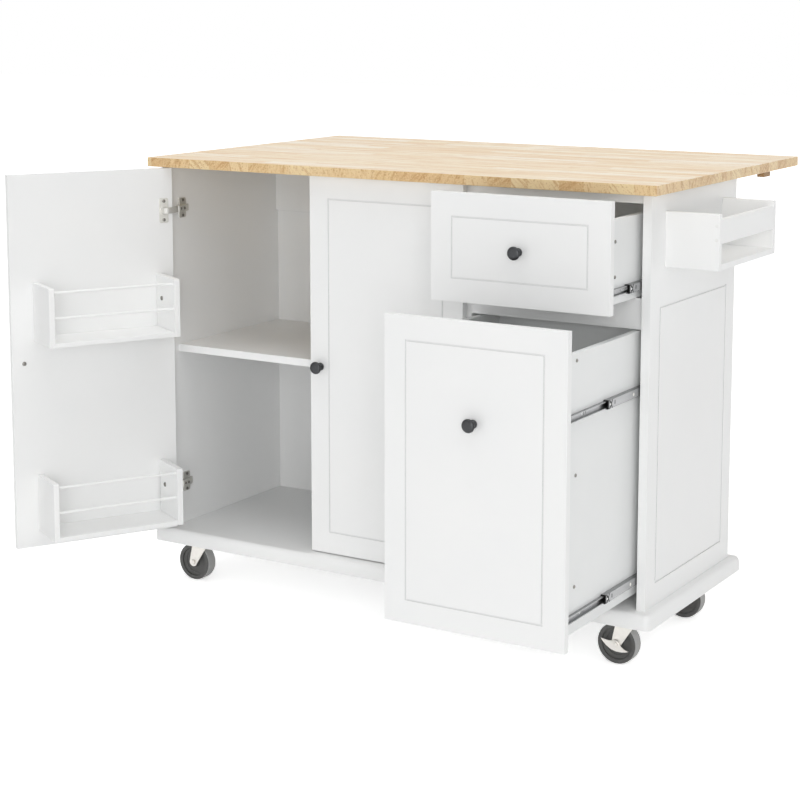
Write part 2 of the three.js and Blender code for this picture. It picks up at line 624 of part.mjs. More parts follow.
// ---- spice rack on the right side ---------------------------------------------------------------
const rackX0 = sideOuter;
const rackX1 = sideOuter + SPICE_RACK_PROJECTION;
const rackY0 = SPICE_RACK_START;
const rackY1 = SPICE_RACK_START + SPICE_RACK_LENGTH;
const rackTop = worktopUnderside - SPICE_RACK_TOP_DROP;
const rackBottom = rackTop - SPICE_RACK_HEIGHT;
const railTop = rackTop - SPICE_RAIL_TOP_DROP;
addMesh('spice_rack', join(
  slab(rackX0, rackX1, rackY0, rackY0 + SPICE_RACK_BOARD, rackBottom, rackTop),
  slab(rackX0, rackX1, rackY1 - SPICE_RACK_BOARD, rackY1, rackBottom, rackTop),
  slab(rackX0, rackX1, rackY0, rackY1, rackBottom, rackBottom + SPICE_RACK_BOARD),
  slab(rackX1 - SPICE_RACK_BOARD, rackX1, rackY0, rackY1, railTop - SPICE_RAIL_HEIGHT, railTop),
), whiteLacquer);

// ---- casters ------------------------------------------------------------------------------------
// Drawn about the swivel axis at x = y = 0, trailing towards -X, with the wheel's axle along Y.
const cheekInner = WHEEL_WIDTH / 2 + WHEEL_SIDE_GAP;
const cheekOuter = cheekInner + FORK_STEEL;
const axleEnd = cheekOuter + SEAT_GAP + BRAKE_STEEL + 1;

function forkGeometry() {
  const cheek = new THREE.Shape();
  const footAngle = THREE.MathUtils.degToRad(30);
  cheek.moveTo(-FORK_HALF_WIDTH, FORK_TOP);
  cheek.lineTo(-FORK_HALF_WIDTH, FORK_TOP - 12);
  cheek.absarc(-CASTER_TRAIL, WHEEL_RADIUS, FORK_FOOT_RADIUS, Math.PI - footAngle / 2,
    2 * Math.PI - footAngle / 2, false);
  cheek.lineTo(FORK_HALF_WIDTH, FORK_TOP - 12);
  cheek.lineTo(FORK_HALF_WIDTH, FORK_TOP);
  cheek.closePath();
  const crown = slab(-FORK_HALF_WIDTH, FORK_HALF_WIDTH, -cheekOuter, cheekOuter, FORK_TOP - FORK_STEEL,
    FORK_TOP);
  const collarTop = BASE_BOTTOM - SWIVEL_GAP;
  return join(
    extrudeAlongY(cheek, -cheekOuter, -cheekInner, ROUND_SEGMENTS / 2),
    extrudeAlongY(cheek, cheekInner, cheekOuter, ROUND_SEGMENTS / 2),
    crown,
    roundBar(FORK_COLLAR_RADIUS, FORK_TOP - FORK_STEEL / 2, collarTop),
    roundBar(STEM_RADIUS, collarTop - 1, BASE_BOTTOM + STEM_LENGTH - SWIVEL_GAP),
    roundBarY(AXLE_RADIUS, -axleEnd, axleEnd, -CASTER_TRAIL, WHEEL_RADIUS),
  );
}

// The wheel: rim, dished web and hub, with a soft shoulder on the tread.
function wheelGeometry() {
  const bore = AXLE_RADIUS + AXLE_CLEARANCE;
  const side = WHEEL_WIDTH / 2;
  const rimInner = WHEEL_RADIUS - WHEEL_RIM;
  const half = [
    [bore, side],
    [WHEEL_HUB_RADIUS, side],
    [WHEEL_HUB_RADIUS + 1, side - WHEEL_DISH],
    [rimInner - 1, side - WHEEL_DISH],
    [rimInner, side - 0.5],
    [WHEEL_RADIUS - 2, side - 0.5],
    [WHEEL_RADIUS, side - 4],
  ];
  const mirrored = half.map(([radius, y]) => [radius, -y]).reverse();
  const points = [...half, ...mirrored, half[0]].map(([radius, y]) => new THREE.Vector2(radius, -y));
  return new THREE.LatheGeometry(points, WHEEL_SEGMENTS);
}

// The brake lever: a wing of sheet steel hung on the axle outside the fork's front cheek. Its toe
// rises over the wheel's trailing side, and its heel lies across the leading side.
function brakeGeometry() {
  const lever = new THREE.Shape();
  lever.moveTo(-BRAKE_TOE_REACH, BRAKE_TOE_RISE);
  lever.bezierCurveTo(-BRAKE_TOE_REACH * 0.6, -BRAKE_BELLY * 0.7, -BRAKE_TOE_REACH * 0.2, -BRAKE_BELLY,
    BRAKE_HEEL_REACH * 0.3, -BRAKE_BELLY);
  lever.quadraticCurveTo(BRAKE_HEEL_REACH * 0.7, -BRAKE_BELLY, BRAKE_HEEL_REACH, -BRAKE_HEEL_DROP);
  lever.quadraticCurveTo(BRAKE_BOSS_RADIUS * 1.6, -BRAKE_HEEL_DROP * 0.7, BRAKE_BOSS_RADIUS * 0.7,
    BRAKE_BOSS_RADIUS * 0.4);
  lever.lineTo(-BRAKE_BOSS_RADIUS * 0.8, BRAKE_BOSS_RADIUS * 0.5);
  lever.quadraticCurveTo(-BRAKE_TOE_REACH * 0.6, BRAKE_BOSS_RADIUS * 0.4, -BRAKE_TOE_REACH, BRAKE_TOE_RISE);
  lever.closePath();
  const boss = new THREE.Shape();
  boss.absarc(0, 0, BRAKE_BOSS_RADIUS, 0, 2 * Math.PI, false);
  const front = -cheekOuter - SEAT_GAP - BRAKE_STEEL;
  const back = -cheekOuter - SEAT_GAP;
  const hole = roundBarY(AXLE_RADIUS + AXLE_CLEARANCE, front - 1, back + 1, 0, 0);
  return cut(join(
    extrudeAlongY(lever, front, back, ROUND_SEGMENTS / 2),
    extrudeAlongY(boss, front, back, ROUND_SEGMENTS / 2),
  ), hole);
}

for (const [name, x, y, braked] of casterPlaces) {
  const fork = addMesh(`caster_fork_${name}`, forkGeometry(), forkZinc);
  fork.position.set(x, y, 0);
  const wheel = addMesh(`caster_wheel_${name}`, wheelGeometry(), wheelGrey);
  wheel.position.set(x - CASTER_TRAIL, y, WHEEL_RADIUS);
  if (braked) {
    const brake = addMesh(`caster_brake_${name}`, brakeGeometry(), forkZinc);
    brake.position.set(x - CASTER_TRAIL, y, WHEEL_RADIUS);
  }
}

// ---- origin -------------------------------------------------------------------------------------
// The origin stands on the floor under the middle of the space that the island fills as shown, with
// its leaf up and its left door and drawers open, to the nearest half millimetre.
island.updateMatrixWorld(true);
const filled = new THREE.Box3().setFromObject(island, true).getCenter(new THREE.Vector3());
island.position.set(-Math.round(2 * filled.x) / 2, -Math.round(2 * filled.y) / 2, 0);

export default island;
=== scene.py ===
import json
import math

import bmesh
import bpy
from mathutils import Matrix, Vector


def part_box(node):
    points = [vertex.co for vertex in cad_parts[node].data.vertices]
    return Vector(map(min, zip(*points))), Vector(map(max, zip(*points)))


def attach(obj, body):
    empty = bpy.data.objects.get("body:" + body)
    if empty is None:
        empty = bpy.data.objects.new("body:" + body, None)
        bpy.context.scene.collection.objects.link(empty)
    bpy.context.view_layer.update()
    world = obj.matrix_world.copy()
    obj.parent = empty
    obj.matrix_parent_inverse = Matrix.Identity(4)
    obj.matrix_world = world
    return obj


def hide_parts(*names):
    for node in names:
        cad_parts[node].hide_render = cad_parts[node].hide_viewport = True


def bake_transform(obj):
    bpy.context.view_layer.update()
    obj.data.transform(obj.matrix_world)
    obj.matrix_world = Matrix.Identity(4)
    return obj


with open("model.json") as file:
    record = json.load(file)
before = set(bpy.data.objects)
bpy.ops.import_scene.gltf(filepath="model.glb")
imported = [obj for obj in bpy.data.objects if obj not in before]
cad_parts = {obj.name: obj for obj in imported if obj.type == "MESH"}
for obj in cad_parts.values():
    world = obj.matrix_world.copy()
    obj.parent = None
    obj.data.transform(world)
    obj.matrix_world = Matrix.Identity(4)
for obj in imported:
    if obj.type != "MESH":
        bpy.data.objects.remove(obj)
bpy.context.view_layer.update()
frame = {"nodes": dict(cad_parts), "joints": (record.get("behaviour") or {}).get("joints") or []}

# ---- camera ----
# The photograph's viewpoint: standing at the front right, a little above the worktop, with a long lens
# whose frame is shifted, so that the island sits where the photograph has it.
CAMERA_LENS = 85.29
CAMERA_PLACE = (2.0489, -3.4406, 1.3037)
LOOKING_DOWN = 7.838
TURNED_LEFT = 31.509
camera_data = bpy.data.cameras.new("product_camera")
camera_data.sensor_width = 36
camera_data.lens = CAMERA_LENS
camera_data.shift_y = -0.18
camera = bpy.data.objects.new("product_camera", camera_data)
camera.location = CAMERA_PLACE
camera.rotation_euler = (math.radians(90 - LOOKING_DOWN), 0, math.radians(TURNED_LEFT))
bpy.context.scene.collection.objects.link(camera)
bpy.context.scene.camera = camera
bpy.context.scene.view_settings.view_transform = "Standard"


# ---- studio ----
# A seamless white paper floor under large soft lamps, all of them well back: the main one beside the
# camera, a weak one at the left, two above and one behind. The paper keeps a faint shadow.
def linear(hex_colour):
    """An sRGB hex colour as the linear value that the shaders take."""
    parts = [int(hex_colour[i:i + 2], 16) / 255 for i in (1, 3, 5)]
    return [p / 12.92 if p <= 0.04045 else ((p + 0.055) / 1.055) ** 2.4 for p in parts] + [1]


def add_node(tree, kind, inputs=None, **settings):
    """A shader node with its settings, its inputs given as values, as sockets or as other nodes."""
    node = tree.nodes.new("ShaderNode" + kind)
    for key, value in settings.items():
        setattr(node, key, value)
    for key, value in (inputs or {}).items():
        if isinstance(value, bpy.types.Node):
            value = next(socket for socket in value.outputs if socket.enabled)
        if isinstance(value, bpy.types.NodeSocket):
            tree.links.new(value, node.inputs[key])
        else:
            node.inputs[key].default_value = value
    return node


def new_finish(name):
    """An empty material and its node tree."""
    material = bpy.data.materials.new(name)
    material.use_nodes = True
    material.node_tree.nodes.clear()
    return material, material.node_tree


FLOOR_SIZE = 40
WORLD_LIGHT = 0.38
LAMP_AIM = (0, 0, 0.5)
LAMPS = [
    ("camera_side_softbox", (4.5, -8.0, 1.7), 4.8, 232),
    ("left_softbox", (-3.2, -7.4, 2.4), 4.8, 38),
    ("high_right_softbox", (5.0, -3.6, 4.7), 4.5, 50),
    ("top_softbox", (0.2, -0.6, 5.6), 5.0, 118),
    ("rear_softbox", (5.2, 7.0, 1.7), 3.0, 42),
]
for lamp_name, place, size, power in LAMPS:
    lamp_data = bpy.data.lights.new(lamp_name, "AREA")
    lamp_data.shape = "DISK"
    lamp_data.size = size
    lamp_data.energy = power
    lamp = bpy.data.objects.new(lamp_name, lamp_data)
    lamp.location = place
    lamp.rotation_euler = (Vector(LAMP_AIM) - lamp.location).to_track_quat("-Z", "Y").to_euler()
    bpy.context.scene.collection.objects.link(lamp)

world = bpy.data.worlds.new("white_studio")
bpy.context.scene.world = world
world.use_nodes = True
tree = world.node_tree
tree.nodes.clear()
ray = add_node(tree, "LightPath")
seen = add_node(tree, "Math", {0: ray.outputs["Is Camera Ray"], 1: ray.outputs["Is Glossy Ray"]},
                operation="MAXIMUM")
seen = add_node(tree, "Math", {0: seen, 1: ray.outputs["Is Transmission Ray"]}, operation="MAXIMUM")
light = add_node(tree, "Background", {"Color": linear("#ffffff"), "Strength": WORLD_LIGHT})
backdrop = add_node(tree, "Background", {"Color": linear("#ffffff"), "Strength": 1.0})
mix = add_node(tree, "MixShader", {0: seen, 1: light, 2: backdrop})
add_node(tree, "OutputWorld", {"Surface": mix})

# Matt white paper: no gloss, a barely visible cloud of fibre. What the camera sees of it is lifted
# towards white, and what lights the object isn't.
PAPER_CLOUD_MM = 25
SHADOW_REACH = 1.2
LIFT_NEAR_OBJECT = 0.42
paper, tree = new_finish("matt_white_studio_paper")
ray = add_node(tree, "LightPath")
seen = add_node(tree, "Math", {0: ray.outputs["Is Camera Ray"], 1: ray.outputs["Is Glossy Ray"]},
                operation="MAXIMUM")
seen = add_node(tree, "Math", {0: seen, 1: ray.outputs["Is Transmission Ray"]}, operation="MAXIMUM")
fibres = add_node(tree, "TexNoise", {"Scale": 1000 / PAPER_CLOUD_MM, "Detail": 3.0})
shade = add_node(tree, "Mix", {"Factor": fibres, "A": linear("#f6f6f6"), "B": linear("#fbfbfb")},
                 data_type="RGBA")
matt = add_node(tree, "BsdfDiffuse", {"Color": shade})
away = add_node(tree, "VectorMath", {0: add_node(tree, "TexCoord").outputs["Object"]}, operation="LENGTH")
share = add_node(tree, "MapRange", {"Value": away, "From Min": SHADOW_REACH, "From Max": 3 * SHADOW_REACH,
                                    "To Min": LIFT_NEAR_OBJECT, "To Max": 1.0})
white = add_node(tree, "Emission", {"Color": linear("#ffffff"), "Strength": 1.0})
lifted = add_node(tree, "MixShader", {0: share, 1: matt, 2: white})
glow = add_node(tree, "AddShader", {0: matt, 1: lifted})
mix = add_node(tree, "MixShader", {0: seen, 1: matt, 2: glow})
add_node(tree, "OutputMaterial", {"Surface": mix})

shape = bmesh.new()
bmesh.ops.create_grid(shape, x_segments=1, y_segments=1, size=FLOOR_SIZE / 2)
floor_mesh = bpy.data.meshes.new("paper_floor")
shape.to_mesh(floor_mesh)
shape.free()
floor_mesh.materials.append(paper)
floor = bpy.data.objects.new("paper_floor", floor_mesh)
bpy.context.scene.collection.objects.link(floor)


# ---- worktop and drop leaf ----
# Two boards of rubberwood, each glued up from finger-jointed strips 40 mm wide, planed, sanded and
# finished with clear lacquer. Only their sharp edges are eased.
CORNER_JOIN = 0.00002
SHARP_EDGE = math.radians(30)


def ease_edges(piece, eased_mm):
    """Rounds a piece's sharp edges by that many millimetres."""
    ease = piece.modifiers.new("eased_edges", "BEVEL")
    ease.width = eased_mm / 1000
    ease.segments = 2
    ease.limit_method = "ANGLE"
    ease.angle_limit = SHARP_EDGE
    ease.harden_normals = True


def dress(names, finish, eased_mm):
    """Gives solids of the model their finish, and eases their edges by that many millimetres."""
    for name in names:
        solid = frame["nodes"][name]
        solid.data.materials.clear()
        solid.data.materials.append(finish)
        if "custom_normal" in solid.data.attributes:
            solid.data.attributes.remove(solid.data.attributes["custom_normal"])
        solid.data.polygons.foreach_set("use_smooth", [True] * len(solid.data.polygons))
        weld = solid.modifiers.new("joined_corners", "WELD")
        weld.merge_threshold = CORNER_JOIN
        ease_edges(solid, eased_mm)


# Rubberwood, lacquered: pale cream, each strip a slightly different tone, with soft tan streaks and
# short dark pores along the grain. The edges show sawn end grain: golden, speckled, and leaning. The
# pores are really 0.3 mm wide and are drawn at 1.8 mm so that they show, and the specks likewise.
STRIP_MM = 40
BLOCK_MM = 330
ROW_SHIFT_M = 1.7
FINGER_MM = 5
FINGER_SLOPE = 4.0
CLEAR_OF_STRIP_GLUE = 0.487
CLEAR_OF_BLOCK_GLUE = 0.4985
STREAK_MM = (190, 11)
PORE_MM = (16, 1.8)
END_BLOCK_MM = 52
END_SPECK_MM = 3.2
END_BAND_MM = 9
END_BAND_LEAN = 2.6
rubberwood, tree = new_finish("lacquered_rubberwood_butcher_block")
where = add_node(tree, "TexCoord")
point = where.outputs["Object"]
x, y, z = add_node(tree, "SeparateXYZ", {0: point}).outputs
strip = add_node(tree, "Math", {0: y, 1: STRIP_MM / 1000}, operation="DIVIDE")
strip_number = add_node(tree, "Math", {0: strip}, operation="FLOOR")
strip_random = add_node(tree, "TexWhiteNoise", {"W": strip_number}, noise_dimensions="1D").outputs["Value"]
finger = add_node(tree, "Math", {0: y, 1: FINGER_MM / 2000}, operation="PINGPONG")
shifted = add_node(tree, "Math", {0: strip_random, 1: ROW_SHIFT_M, 2: x}, operation="MULTIPLY_ADD")
along = add_node(tree, "Math", {0: finger, 1: FINGER_SLOPE, 2: shifted}, operation="MULTIPLY_ADD")
block = add_node(tree, "Math", {0: along, 1: BLOCK_MM / 1000}, operation="DIVIDE")
block_number = add_node(tree, "Math", {0: block}, operation="FLOOR")
block_key = add_node(tree, "CombineXYZ", {0: block_number, 1: strip_number, 2: 0.0})
block_random = add_node(tree, "TexWhiteNoise", {"Vector": block_key}, noise_dimensions="3D")
slid = add_node(tree, "VectorMath", {0: block_random.outputs["Color"], 1: (3.0, 3.0, 3.0)},
                operation="MULTIPLY")
placed = add_node(tree, "VectorMath", {0: point, 1: slid}, operation="ADD")
streak_space = add_node(tree, "Mapping", {"Vector": placed, "Scale": (
    1000 / STREAK_MM[0], 1000 / STREAK_MM[1], 1000 / STREAK_MM[1])})
streaks = add_node(tree, "TexNoise", {"Vector": streak_space, "Scale": 1.0, "Detail": 4.0, "Roughness": 0.6,
                                      "Distortion": 0.6})
pore_space = add_node(tree, "Mapping", {"Vector": placed, "Scale": (
    1000 / PORE_MM[0], 1000 / PORE_MM[1], 1000 / PORE_MM[1])})
pores = add_node(tree, "TexNoise", {"Vector": pore_space, "Scale": 1.0, "Detail": 1.0})
tone = add_node(tree, "ValToRGB", {"Fac": block_random.outputs["Value"]})
tone.color_ramp.elements[0].color = linear("#f3e0be")
tone.color_ramp.elements[1].color = linear("#fdf4e2")
for at, colour in ((0.3, "#f9ecd2"), (0.55, "#f1dab6"), (0.8, "#fbf0da")):
    tone.color_ramp.elements.new(at).color = linear(colour)
streak_share = add_node(tree, "MapRange", {"Value": streaks, "From Min": 0.44, "From Max": 0.66,
                                           "To Max": 0.8})
face = add_node(tree, "Mix", {"Factor": streak_share, "A": tone.outputs["Color"], "B": linear("#ddb27a")},
                data_type="RGBA")
pore_share = add_node(tree, "MapRange", {"Value": pores, "From Min": 0.58, "From Max": 0.72, "To Max": 0.35})
face = add_node(tree, "Mix", {"Factor": pore_share, "A": face, "B": linear("#b98b5c")}, data_type="RGBA")
across = add_node(tree, "Math", {0: strip}, operation="FRACT")
in_strip = add_node(tree, "Math", {0: across, 1: 0.5, 2: CLEAR_OF_STRIP_GLUE}, operation="COMPARE")
lengthways = add_node(tree, "Math", {0: block}, operation="FRACT")
in_block = add_node(tree, "Math", {0: lengthways, 1: 0.5, 2: CLEAR_OF_BLOCK_GLUE}, operation="COMPARE")
clear_wood = add_node(tree, "Math", {0: in_strip, 1: in_block}, operation="MULTIPLY")
glue_share = add_node(tree, "MapRange", {"Value": clear_wood, "To Min": 0.22, "To Max": 0.0})
face = add_node(tree, "Mix", {"Factor": glue_share, "A": face, "B": linear("#bd8d58")}, data_type="RGBA")
run = add_node(tree, "Math", {0: x, 1: y}, operation="ADD")
end_block = add_node(tree, "Math", {0: run, 1: END_BLOCK_MM / 1000}, operation="DIVIDE")
end_number = add_node(tree, "Math", {0: end_block}, operation="FLOOR")
end_random = add_node(tree, "TexWhiteNoise", {"W": end_number}, noise_dimensions="1D")
end_tone = add_node(tree, "ValToRGB", {"Fac": end_random.outputs["Value"]})
end_tone.color_ramp.elements[0].color = linear("#d9b583")
end_tone.color_ramp.elements[1].color = linear("#edd6a8")
for at, colour in ((0.3, "#e2c391"), (0.6, "#e7ca9b")):
    end_tone.color_ramp.elements.new(at).color = linear(colour)
tilt = add_node(tree, "Math", {0: end_random.outputs["Value"], 1: 0.5}, operation="SUBTRACT")
lean = add_node(tree, "Math", {0: tilt, 1: END_BAND_LEAN}, operation="MULTIPLY")
leaning = add_node(tree, "Math", {0: z, 1: lean, 2: run}, operation="MULTIPLY_ADD")
end_point = add_node(tree, "CombineXYZ", {0: leaning, 1: z, 2: end_number})
band_space = add_node(tree, "Mapping", {"Vector": end_point, "Scale": (
    1000 / END_BAND_MM, 250 / END_BAND_MM, 1.0)})
bands = add_node(tree, "TexNoise", {"Vector": band_space, "Scale": 1.0, "Detail": 3.0, "Roughness": 0.6})
band_share = add_node(tree, "MapRange", {"Value": bands, "From Min": 0.5, "From Max": 0.62, "To Max": 0.6})
ends = add_node(tree, "Mix", {"Factor": band_share, "A": end_tone.outputs["Color"], "B": linear("#bd8a52")},
                data_type="RGBA")
specks = add_node(tree, "TexNoise", {"Vector": point, "Scale": 1000 / END_SPECK_MM, "Detail": 2.0})
speck_share = add_node(tree, "MapRange", {"Value": specks, "From Min": 0.58, "From Max": 0.68,
                                          "To Max": 0.55})
ends = add_node(tree, "Mix", {"Factor": speck_share, "A": ends, "B": linear("#a8763f")}, data_type="RGBA")
light_share = add_node(tree, "MapRange", {"Value": specks, "From Min": 0.44, "From Max": 0.32, "To Max": 0.6})
ends = add_node(tree, "Mix", {"Factor": light_share, "A": ends, "B": linear("#ecd5a6")}, data_type="RGBA")
facing = add_node(tree, "SeparateXYZ", {0: where.outputs["Normal"]})
upward = add_node(tree, "Math", {0: facing.outputs[2]}, operation="ABSOLUTE")
sideways = add_node(tree, "Math", {0: upward, 1: 0.5}, operation="LESS_THAN")
wood = add_node(tree, "Mix", {"Factor": sideways, "A": face, "B": ends}, data_type="RGBA")
gloss = add_node(tree, "MapRange", {"Value": streaks, "To Min": 0.36, "To Max": 0.48})
relief = add_node(tree, "Bump", {"Strength": 0.12, "Distance": 0.0004, "Height": streaks})
surface = add_node(tree, "BsdfPrincipled", {"Base Color": wood, "Roughness": gloss, "IOR": 1.5,
                                            "Normal": relief})
add_node(tree, "OutputMaterial", {"Surface": surface})
dress(["tabletop_main", "drop_leaf"], rubberwood, 1.2)


# ---- cabinet carcass and base ----
# Panels of MDF, cut square and sprayed with satin white lacquer, screwed and doweled together on a
# base board with a stepped edge. A flat stretcher over the drawers holds the worktop.
SHARP_BEND = math.radians(35)


def make_piece(name, shape, finish, body, place=None, eased_mm=0.0):
    """A new piece from a bmesh in metres: placed, finished, edges eased, riding on its body."""
    if place is not None:
        shape.transform(place)
    bmesh.ops.recalc_face_normals(shape, faces=shape.faces)
    mesh = bpy.data.meshes.new(name)
    shape.to_mesh(mesh)
    shape.free()
    mesh.materials.append(finish)
    mesh.polygons.foreach_set("use_smooth", [True] * len(mesh.polygons))
    if not eased_mm:
        mesh.set_sharp_from_angle(angle=SHARP_BEND)
    piece = bpy.data.objects.new(name, mesh)
    bpy.context.scene.collection.objects.link(piece)
    if eased_mm:
        ease_edges(piece, eased_mm)
    if body:
        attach(piece, body)
    return piece


def board(shape, outline, low, high, place=None, holes=()):
    """Adds a flat form to a bmesh: (x, y) points in millimetres, with holes, from z = low to z = high."""
    edges = []
    for loop in (outline, *holes):
        corners = [shape.verts.new((px / 1000, py / 1000, low / 1000)) for px, py in loop]
        edges += [shape.edges.new((a, b)) for a, b in zip(corners, corners[1:] + corners[:1])]
    filled = bmesh.ops.triangle_fill(shape, edges=edges, use_beauty=True)["geom"]
    faces = [g for g in filled if isinstance(g, bmesh.types.BMFace)]
    if not holes:
        faces = bmesh.ops.dissolve_faces(shape, faces=faces)["region"]
    raised = bmesh.ops.extrude_face_region(shape, geom=faces, use_keep_orig=True)["geom"]
    top = [g for g in raised if isinstance(g, bmesh.types.BMVert)]
    bmesh.ops.translate(shape, verts=top, vec=(0, 0, (high - low) / 1000))
    if place is not None:
        base = {v for face in faces for v in face.verts}
        bmesh.ops.transform(shape, matrix=place, verts=list(base) + top)


def rounded(x0, x1, y0, y1, radius=0.0, steps=5):
    """The outline of a rectangle in millimetres, its corners rounded by a radius."""
    if not radius:
        return [(x0, y0), (x1, y0), (x1, y1), (x0, y1)]
    points = []
    for cx, cy, start in ((x1 - radius, y0 + radius, -90), (x1 - radius, y1 - radius, 0),
                          (x0 + radius, y1 - radius, 90), (x0 + radius, y0 + radius, 180)):
        for step in range(steps + 1):
            angle = math.radians(start + 90 * step / steps)
            points.append((cx + radius * math.cos(angle), cy + radius * math.sin(angle)))
    return points


# Satin white lacquer over MDF: an even white with a soft gloss and the faint ripple of a sprayed
# coat. Down in the routed lines and inner corners the colour is greyed as painted shade. The ripple is
# really about 1 mm and is drawn at 2.4 mm so that it shows at all.
GROOVE_MM = 4
LACQUER_CLOUD_MM = 160
LACQUER_RIPPLE_MM = 2.4
white_lacquer, tree = new_finish("satin_white_lacquer_on_mdf")
point = add_node(tree, "TexCoord").outputs["Object"]
clouds = add_node(tree, "TexNoise", {"Vector": point, "Scale": 1000 / LACQUER_CLOUD_MM, "Detail": 2.0})
tint = add_node(tree, "Mix", {"Factor": clouds, "A": linear("#f1f2f2"), "B": linear("#f6f6f5")},
                data_type="RGBA")
# Painted shade: where ambient occlusion finds the surface hemmed in, in routed lines and inner corners, the
# colour is mixed towards grey.
hidden = add_node(tree, "AmbientOcclusion", {"Distance": GROOVE_MM / 1000}, samples=6, only_local=True)
painted_groove_shade = add_node(tree, "MapRange", {"Value": hidden.outputs["AO"], "From Min": 0.35, "From Max": 0.85,
                                   "To Min": 0.6, "To Max": 0.0})
tint = add_node(tree, "Mix", {"Factor": painted_groove_shade, "A": tint, "B": linear("#9fa1a2")}, data_type="RGBA")
ripple = add_node(tree, "TexNoise", {"Vector": point, "Scale": 1000 / LACQUER_RIPPLE_MM, "Detail": 2.0})
gloss = add_node(tree, "MapRange", {"Value": clouds, "To Min": 0.36, "To Max": 0.46})
relief = add_node(tree, "Bump", {"Strength": 0.05, "Distance": 0.0002, "Height": ripple})
surface = add_node(tree, "BsdfPrincipled", {"Base Color": tint, "Roughness": gloss, "IOR": 1.48,
                                            "Normal": relief})
add_node(tree, "OutputMaterial", {"Surface": surface})
dress(["side_panel_left", "side_panel_right", "divider_panel", "back_panel", "shelf_board", "drawer_rail"],
      white_lacquer, 0.4)
dress(["base_board"], white_lacquer, 1.0)

STRETCHER_THICKNESS = 20
STRETCHER_DEPTH = 60
rail_low, rail_high = (corner * 1000 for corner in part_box("drawer_rail"))
under_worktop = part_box("tabletop_main")[0].z * 1000
shape = bmesh.new()
board(shape, rounded(rail_low.x, rail_high.x, rail_low.y, rail_low.y + STRETCHER_DEPTH),
      under_worktop - STRETCHER_THICKNESS, under_worktop)
make_piece("worktop_stretcher", shape, white_lacquer, "island", eased_mm=0.5)


# ---- doors and knobs ----
# Slab doors in the same lacquered MDF, each with a routed line frame. The left one stands open. The
# mushroom knobs are turned and plated, each held by a machine screw through the door.
dress(["door_left", "door_right"], white_lacquer, 0.35)


def turn(shape, profile, place=None, segments=48):
    """Adds a turned form to a bmesh: (radius, height) points in millimetres, swept about Z."""
    rings = []
    for radius, height in profile:
        if radius < 1e-6:
            rings.append([shape.verts.new((0, 0, height / 1000))])
            continue
        rings.append([shape.verts.new((radius / 1000 * math.cos(2 * math.pi * i / segments),
                                       radius / 1000 * math.sin(2 * math.pi * i / segments),
                                       height / 1000)) for i in range(segments)])
    for low, high in zip(rings, rings[1:]):
        for i in range(segments):
            j = (i + 1) % segments
            corners = [low[i % len(low)], low[j % len(low)], high[j % len(high)], high[i % len(high)]]
            corners = list(dict.fromkeys(corners))
            if len(corners) > 2:
                shape.faces.new(corners)
    if place is not None:
        bmesh.ops.transform(shape, matrix=place, verts=[vertex for ring in rings for vertex in ring])


def screw(shape, place, radius):
    """Adds a pan-head screw with a recess, its head standing up from the plane z = 0."""
    r = radius
    turn(shape, [(r, 0), (r, 0.25 * r), (0.86 * r, 0.5 * r), (0.5 * r, 0.64 * r), (0.34 * r, 0.66 * r),
                 (0.2 * r, 0.3 * r), (0, 0.26 * r)], place, segments=24)


def middle(name):
    """The middle of a solid's box at rest."""
    low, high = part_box(name)
    return (low + high) / 2


def plated(name, dark, pale, gloss, haze_mm, metallic=1.0):
    """A plated metal finish: two close tones in a fine haze, which also varies the gloss."""
    finish, tree = new_finish(name)
    point = add_node(tree, "TexCoord").outputs["Object"]
    haze = add_node(tree, "TexNoise", {"Vector": point, "Scale": 1000 / haze_mm, "Detail": 3.0})
    tint = add_node(tree, "Mix", {"Factor": haze, "A": linear(dark), "B": linear(pale)}, data_type="RGBA")
    sheen = add_node(tree, "MapRange", {"Value": haze, "To Min": gloss[0], "To Max": gloss[1]})
    surface = add_node(tree, "BsdfPrincipled", {"Base Color": tint, "Metallic": metallic, "Roughness": sheen})
    add_node(tree, "OutputMaterial", {"Surface": surface})
    return finish


# Black nickel plate on turned zinc: almost black, with a soft metallic highlight and a fine haze,
# which is really under 1 mm on all the plated metals and is drawn at 3.8 mm so that it shows.
PLATE_HAZE_MM = 3.8
black_nickel = plated("black_nickel_plated_zinc", "#3a3b3d", "#4a4b4c", (0.3, 0.44), PLATE_HAZE_MM)

# Nickel plate on pressed steel: pale, slightly warm, with a blurred reflection.
nickel = plated("nickel_plated_pressed_steel", "#d2d0cb", "#e2e1dc", (0.42, 0.56), PLATE_HAZE_MM)

# Zinc plated screws, passivated: mid grey, darker than the plates they hold, with a slight mottle.
screw_zinc = plated("passivated_zinc_plated_screws", "#7d7b77", "#8f8d88", (0.35, 0.5), PLATE_HAZE_MM)

